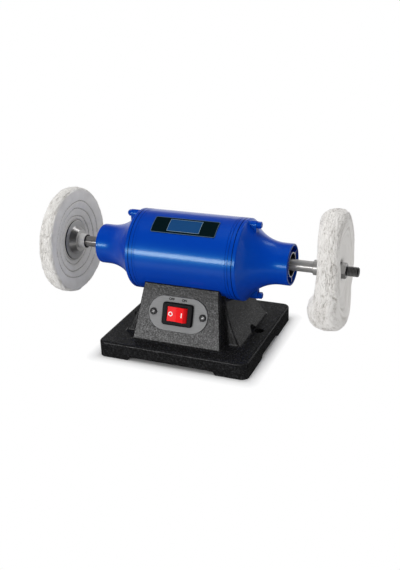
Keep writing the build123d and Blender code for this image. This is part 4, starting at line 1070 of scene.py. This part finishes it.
print("sewn buff, radius", round(sewn_radius, 4), "with", len(out), "rows")

# %% Sewn buff, frayed rim and grooves
stitch_radii = (0.0348, 0.0450, 0.0550)
last_ring = stitch_radii[-1]
groove_width = 0.0008
groove_depth = 1.2


def stitch_wobble(angle, ring):
    return 0.0006 * np.sin(3 * angle + ring) + 0.0004 * np.sin(7 * angle + 2 * ring)


fluff = (
    (0.6, combed, 0.014, 0.005, 1),
    (0.4, combed, 0.012, 0.0018, 2),
    (0.3, combed, 0.006, 0.0011, 3),
    (0.9, dashes, 0.014, 0.0019, 4),
    (0.7, dashes, 0.008, 0.0014, 7),
)
free_rim = ease(out, sewn_radius - 0.006, sewn_radius - 0.0015)
free_face = ease(out, last_ring, sewn_radius - 0.004) * (1 - free_rim)
depth = free_rim * layered(fluff, angle, travel, sewn_radius)
depth += free_face * 1.1 * combed(angle, travel, sewn_radius, 0.022, 0.012, 5)
depth += 0.25 * combed(angle, travel, sewn_radius, 0.012, 0.012, 6) * ease(out, flange_reach, 0.04)
on_face = np.abs(normal_along) > 0.6
for ring, radius in enumerate(stitch_radii):
    groove = hump(out - radius - stitch_wobble(angle, ring), groove_width)
    depth -= groove_depth * groove * on_face
depth -= groove_depth * hump(out - flange_reach - groove_width, groove_width) * (along < sewn_middle)
depth *= millimetre
print("sewn buff pushed from", round(depth.min(), 5), "to", round(depth.max(), 5), "m")

# %% Sewn buff, leaning edge
inner_half = 1 - ease(along, sewn_inner + 0.004, sewn_middle)
lean = -4.0 * swell(angle, 115, 34) - 2.5 * swell(angle, 232, 34)
lean += 0.6 * combed(angle, travel * 0, sewn_radius, 0.009, 0.01, 8)
lean = lean * millimetre * inner_half * ease(out, last_ring, sewn_radius)
sewn_along = along + lean + depth * normal_along
sewn_out = out + depth * normal_out
sewn_mesh = cloth_skin("sewn_buff", -1, sewn_along, sewn_out, angle, travel, depth, free_rim)
sewn_buff = add_piece("sewn_buff", sewn_mesh, sewn_cotton, "spindle")
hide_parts("left_buff")

# %% [markdown]
# ## Stitches
#
# Each ring is sewn with a strong thread: short raised stitches with a gap between them, laid in the
# groove on both faces. One stitch is a small spindle-shaped bead. An array along a curve could repeat it;
# a loop is used here, because every ring wobbles in its own way.

# %% Stitches of the sewn buff
stitch_length = 0.0042
stitch_pitch = 0.0052
stitch_thickness = 0.00042
stitch_steps = 7
stitch_sink = 0.0009
bead_tip = 0.12
bead_sides = 6


def face_at(radius, face_knots):
    knots = sorted((r, x) for x, r in face_knots)
    return np.interp(radius, [k[0] for k in knots], [k[1] for k in knots])


def bead(path, thickness):
    """A closed tube along a path, thick in the middle and pointed at both ends."""
    share = np.sin(np.linspace(bead_tip, math.pi - bead_tip, len(path)))[:, None, None]
    ahead = np.gradient(path, axis=0)
    ahead /= np.linalg.norm(ahead, axis=1)[:, None]
    side = np.cross(ahead, (1.0, 0.0, 0.0))
    up = np.cross(side, ahead)
    turns = np.linspace(0, 2 * math.pi, bead_sides, endpoint=False)[None, :, None]
    ring = np.cos(turns) * side[:, None, :] + np.sin(turns) * up[:, None, :]
    return path[:, None, :] + thickness * share * ring


stitches = []
for face_knots, outward in ((inner_face, -1), (outer_face, 1)):
    for ring, radius in enumerate(stitch_radii):
        count = int(2 * math.pi * radius / stitch_pitch)
        for start in np.arange(count) * 2 * math.pi / count:
            turn = start + np.linspace(0, stitch_length / radius, stitch_steps)
            reach = radius + stitch_wobble(turn, ring)
            x = -(face_at(reach, face_knots) - outward * stitch_sink)
            path = np.stack([x, -reach * np.sin(turn), axle_height + reach * np.cos(turn)], axis=-1)
            stitches.append(bead(path, stitch_thickness))
stitch_thread, tree, shader = new_finish("stitch_thread", (0.42, 0.40, 0.37), 0.8, specular=0.2)
thread_tones = [(0.3, (0.34, 0.32, 0.3)), (0.7, (0.5, 0.48, 0.44))]
feed(shader, "Base Color", blend_colours(tree, machine_grain(tree, 800), thread_tones))
stitch_mesh = skin("sewn_buff_stitches", stitches, False, smooth=True)
add_piece("sewn_buff_stitches", stitch_mesh, stitch_thread, "spindle")

# %% [markdown]
# ## The loose buff on the right
#
# Only the hub holds these cloths. They hang in soft waves: the stack bellies out low at the front, draws
# in above it and leans over at the top, and its top and foot are domed. Sculpting could shape it, but a
# few bumps, each with its place in degrees round the turn and its size in millimetres, are easier to
# correct. Stronger, longer grain than on the sewn buff gives the tufted rim. On its faces the cloth lies
# in long soft folds, and one deep crease cuts the outer edge where two waves meet.

# %% Loose buff, outline
loose_low, loose_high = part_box("right_buff")
loose_radius = (loose_high.z - loose_low.z) / 2
loose_inner = 0.1805
loose_outer = 0.2008
loose_middle = (loose_inner + loose_outer) / 2
loose_face_step = 0.0009
inner_face = [(hub_inner, bore), (hub_inner, flange_reach + 0.0008), (loose_inner + 0.001, 0.043)]
inner_face += [(loose_inner, 0.052), (loose_inner, loose_radius - 0.0065)]
rim = [inner_face[-1], (loose_inner + 0.0012, loose_radius - 0.003)]
rim += [(loose_inner + 0.0042, loose_radius - 0.0007), (loose_middle, loose_radius)]
rim += [(loose_outer - 0.0050, loose_radius - 0.0008), (loose_outer - 0.0020, loose_radius - 0.0034)]
rim += [(loose_outer - 0.0005, loose_radius - 0.0070), (loose_outer, loose_radius - 0.0120)]
outer_face = [rim[-1], (loose_outer, 0.022), (loose_outer - 0.0008, 0.0142)]
outer_face += [(hub_outer, washer_reach + 0.0006), (hub_outer, bore)]
parts = [walk(inner_face, loose_face_step), walk(rim, rim_step), walk(outer_face, face_step)]
parts += [walk(bore_line, bore_step)]
along, out, angle, travel, normal_along, normal_out = outline_grid(rounded(np.concatenate(parts), 3))
print("loose buff, radius", round(loose_radius, 4), "with", len(out), "rows")

# %% Loose buff, waves and domes
inner_wave = -6.8 * swell(angle, 0, 28) + 5.0 * swell(angle, 74, 28) - 8.0 * plateau(angle, 97, 165, 20, 45)
inner_wave -= 3.5 * swell(angle, 255, 26)
outer_wave = 1.5 + 3.0 * swell(angle, 0, 30) + 10.0 * swell(angle, 80, 45) + 10.0 * swell(angle, 168, 45)
outer_wave += 2.2 * plateau(angle, 80, 97, 16, 4)
across = np.clip((along - loose_inner) / (loose_outer - loose_inner), 0, 1)
hang = ease(out, flange_reach + 0.002, 0.060) * millimetre
waved = along + hang * ((1 - across) * inner_wave + across * outer_wave)
top_dome = 1 - (2.2 * (across - 0.6)) ** 2
foot_dome = 1 - (2.3 * (across - 0.5)) ** 2
reach_wave = 2.2 * top_dome * swell(angle, 0, 35) + 2.8 * foot_dome * swell(angle, 165, 45)
reached = out + reach_wave * ease(out, 0.05, loose_radius) * millimetre
print("loose buff from", round(waved.min(), 4), "to", round(waved.max(), 4), "m along the spindle")

# %% Loose buff, tufts, folds and crease
tufts = (
    (0.7, combed, 0.030, 0.008, 11),
    (0.5, combed, 0.018, 0.0022, 12),
    (0.35, combed, 0.012, 0.0013, 13),
    (0.8, dashes, 0.017, 0.0019, 14),
    (0.7, dashes, 0.011, 0.0015, 15),
)
crease_on_rim = 0.78
crease_angle, crease_slant, crease_width = 97, 800, 1.6
crease_length = 0.0055
crease_depth = 1.8
free_rim = ease(out, loose_radius - 0.018, loose_radius - 0.006)
folds = 2.2 * combed(angle, travel, loose_radius, 0.060, 0.0050, 16) * ease(out, flange_reach, 0.05)
depth = free_rim * layered(tufts, angle, travel, loose_radius) + (1 - free_rim) * folds
past_corner = travel - travel[len(parts[0]) + int(crease_on_rim * len(parts[1])), 0]
slanted = crease_angle + crease_slant * past_corner
crease = swell(angle, slanted, crease_width) * hump(past_corner, crease_length)
depth -= crease_depth * crease
depth *= millimetre
loose_along = waved + depth * normal_along
loose_out = reached + depth * normal_out
frayed = free_rim * (1 - 0.55 * swell(angle, 140, 40))
loose_mesh = cloth_skin("loose_buff", 1, loose_along, loose_out, angle, travel, depth, frayed)
loose_buff = add_piece("loose_buff", loose_mesh, loose_cotton, "spindle")
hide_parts("right_buff")

# %% [markdown]
# ## Stray threads
#
# Worn cloth sheds threads. Short bent strands stand off both rims, each starting on a point of the cloth
# and curling along the turn. A hair system could grow them, but tubes are plain meshes that every other
# program can read. The random numbers are seeded, so every run draws the same strands.

# %% Stray threads
strand_radius = 0.00013
strand_count = 170
strand_zone = 0.004
strand_sink = 0.0003
share_along = np.linspace(0, 1, 6)[:, None]


def stray_threads(name, cloth, radius, seed):
    draw = np.random.default_rng(seed)
    points = np.array([vertex.co for vertex in cloth.vertices])
    reach = np.hypot(points[:, 1], points[:, 2] - axle_height)
    starts = points[draw.choice(np.flatnonzero(reach > radius - strand_zone), strand_count, replace=False)]
    t = share_along
    tubes = []
    for start in starts:
        outward = np.array([0, start[1], start[2] - axle_height])
        outward /= np.linalg.norm(outward)
        along_turn = np.cross(outward, (1.0, 0.0, 0.0)) * draw.choice((-1, 1))
        sideways = np.array([draw.normal(0, 0.5), 0, 0])
        length = draw.uniform(0.002, 0.006)
        rise = draw.uniform(0.2, 0.7)
        path = start + length * (t * along_turn + rise * (t - 0.75 * t * t) * outward + t * t * sideways)
        tubes.append(bead(path - strand_sink * outward, strand_radius))
    return skin(name, tubes, False, smooth=True)


sewn_threads = stray_threads("sewn_buff_threads", sewn_mesh, sewn_radius, 3)
add_piece("sewn_buff_threads", sewn_threads, sewn_cotton, "spindle")
loose_threads = stray_threads("loose_buff_threads", loose_mesh, loose_radius, 8)
add_piece("loose_buff_threads", loose_threads, loose_cotton, "spindle")
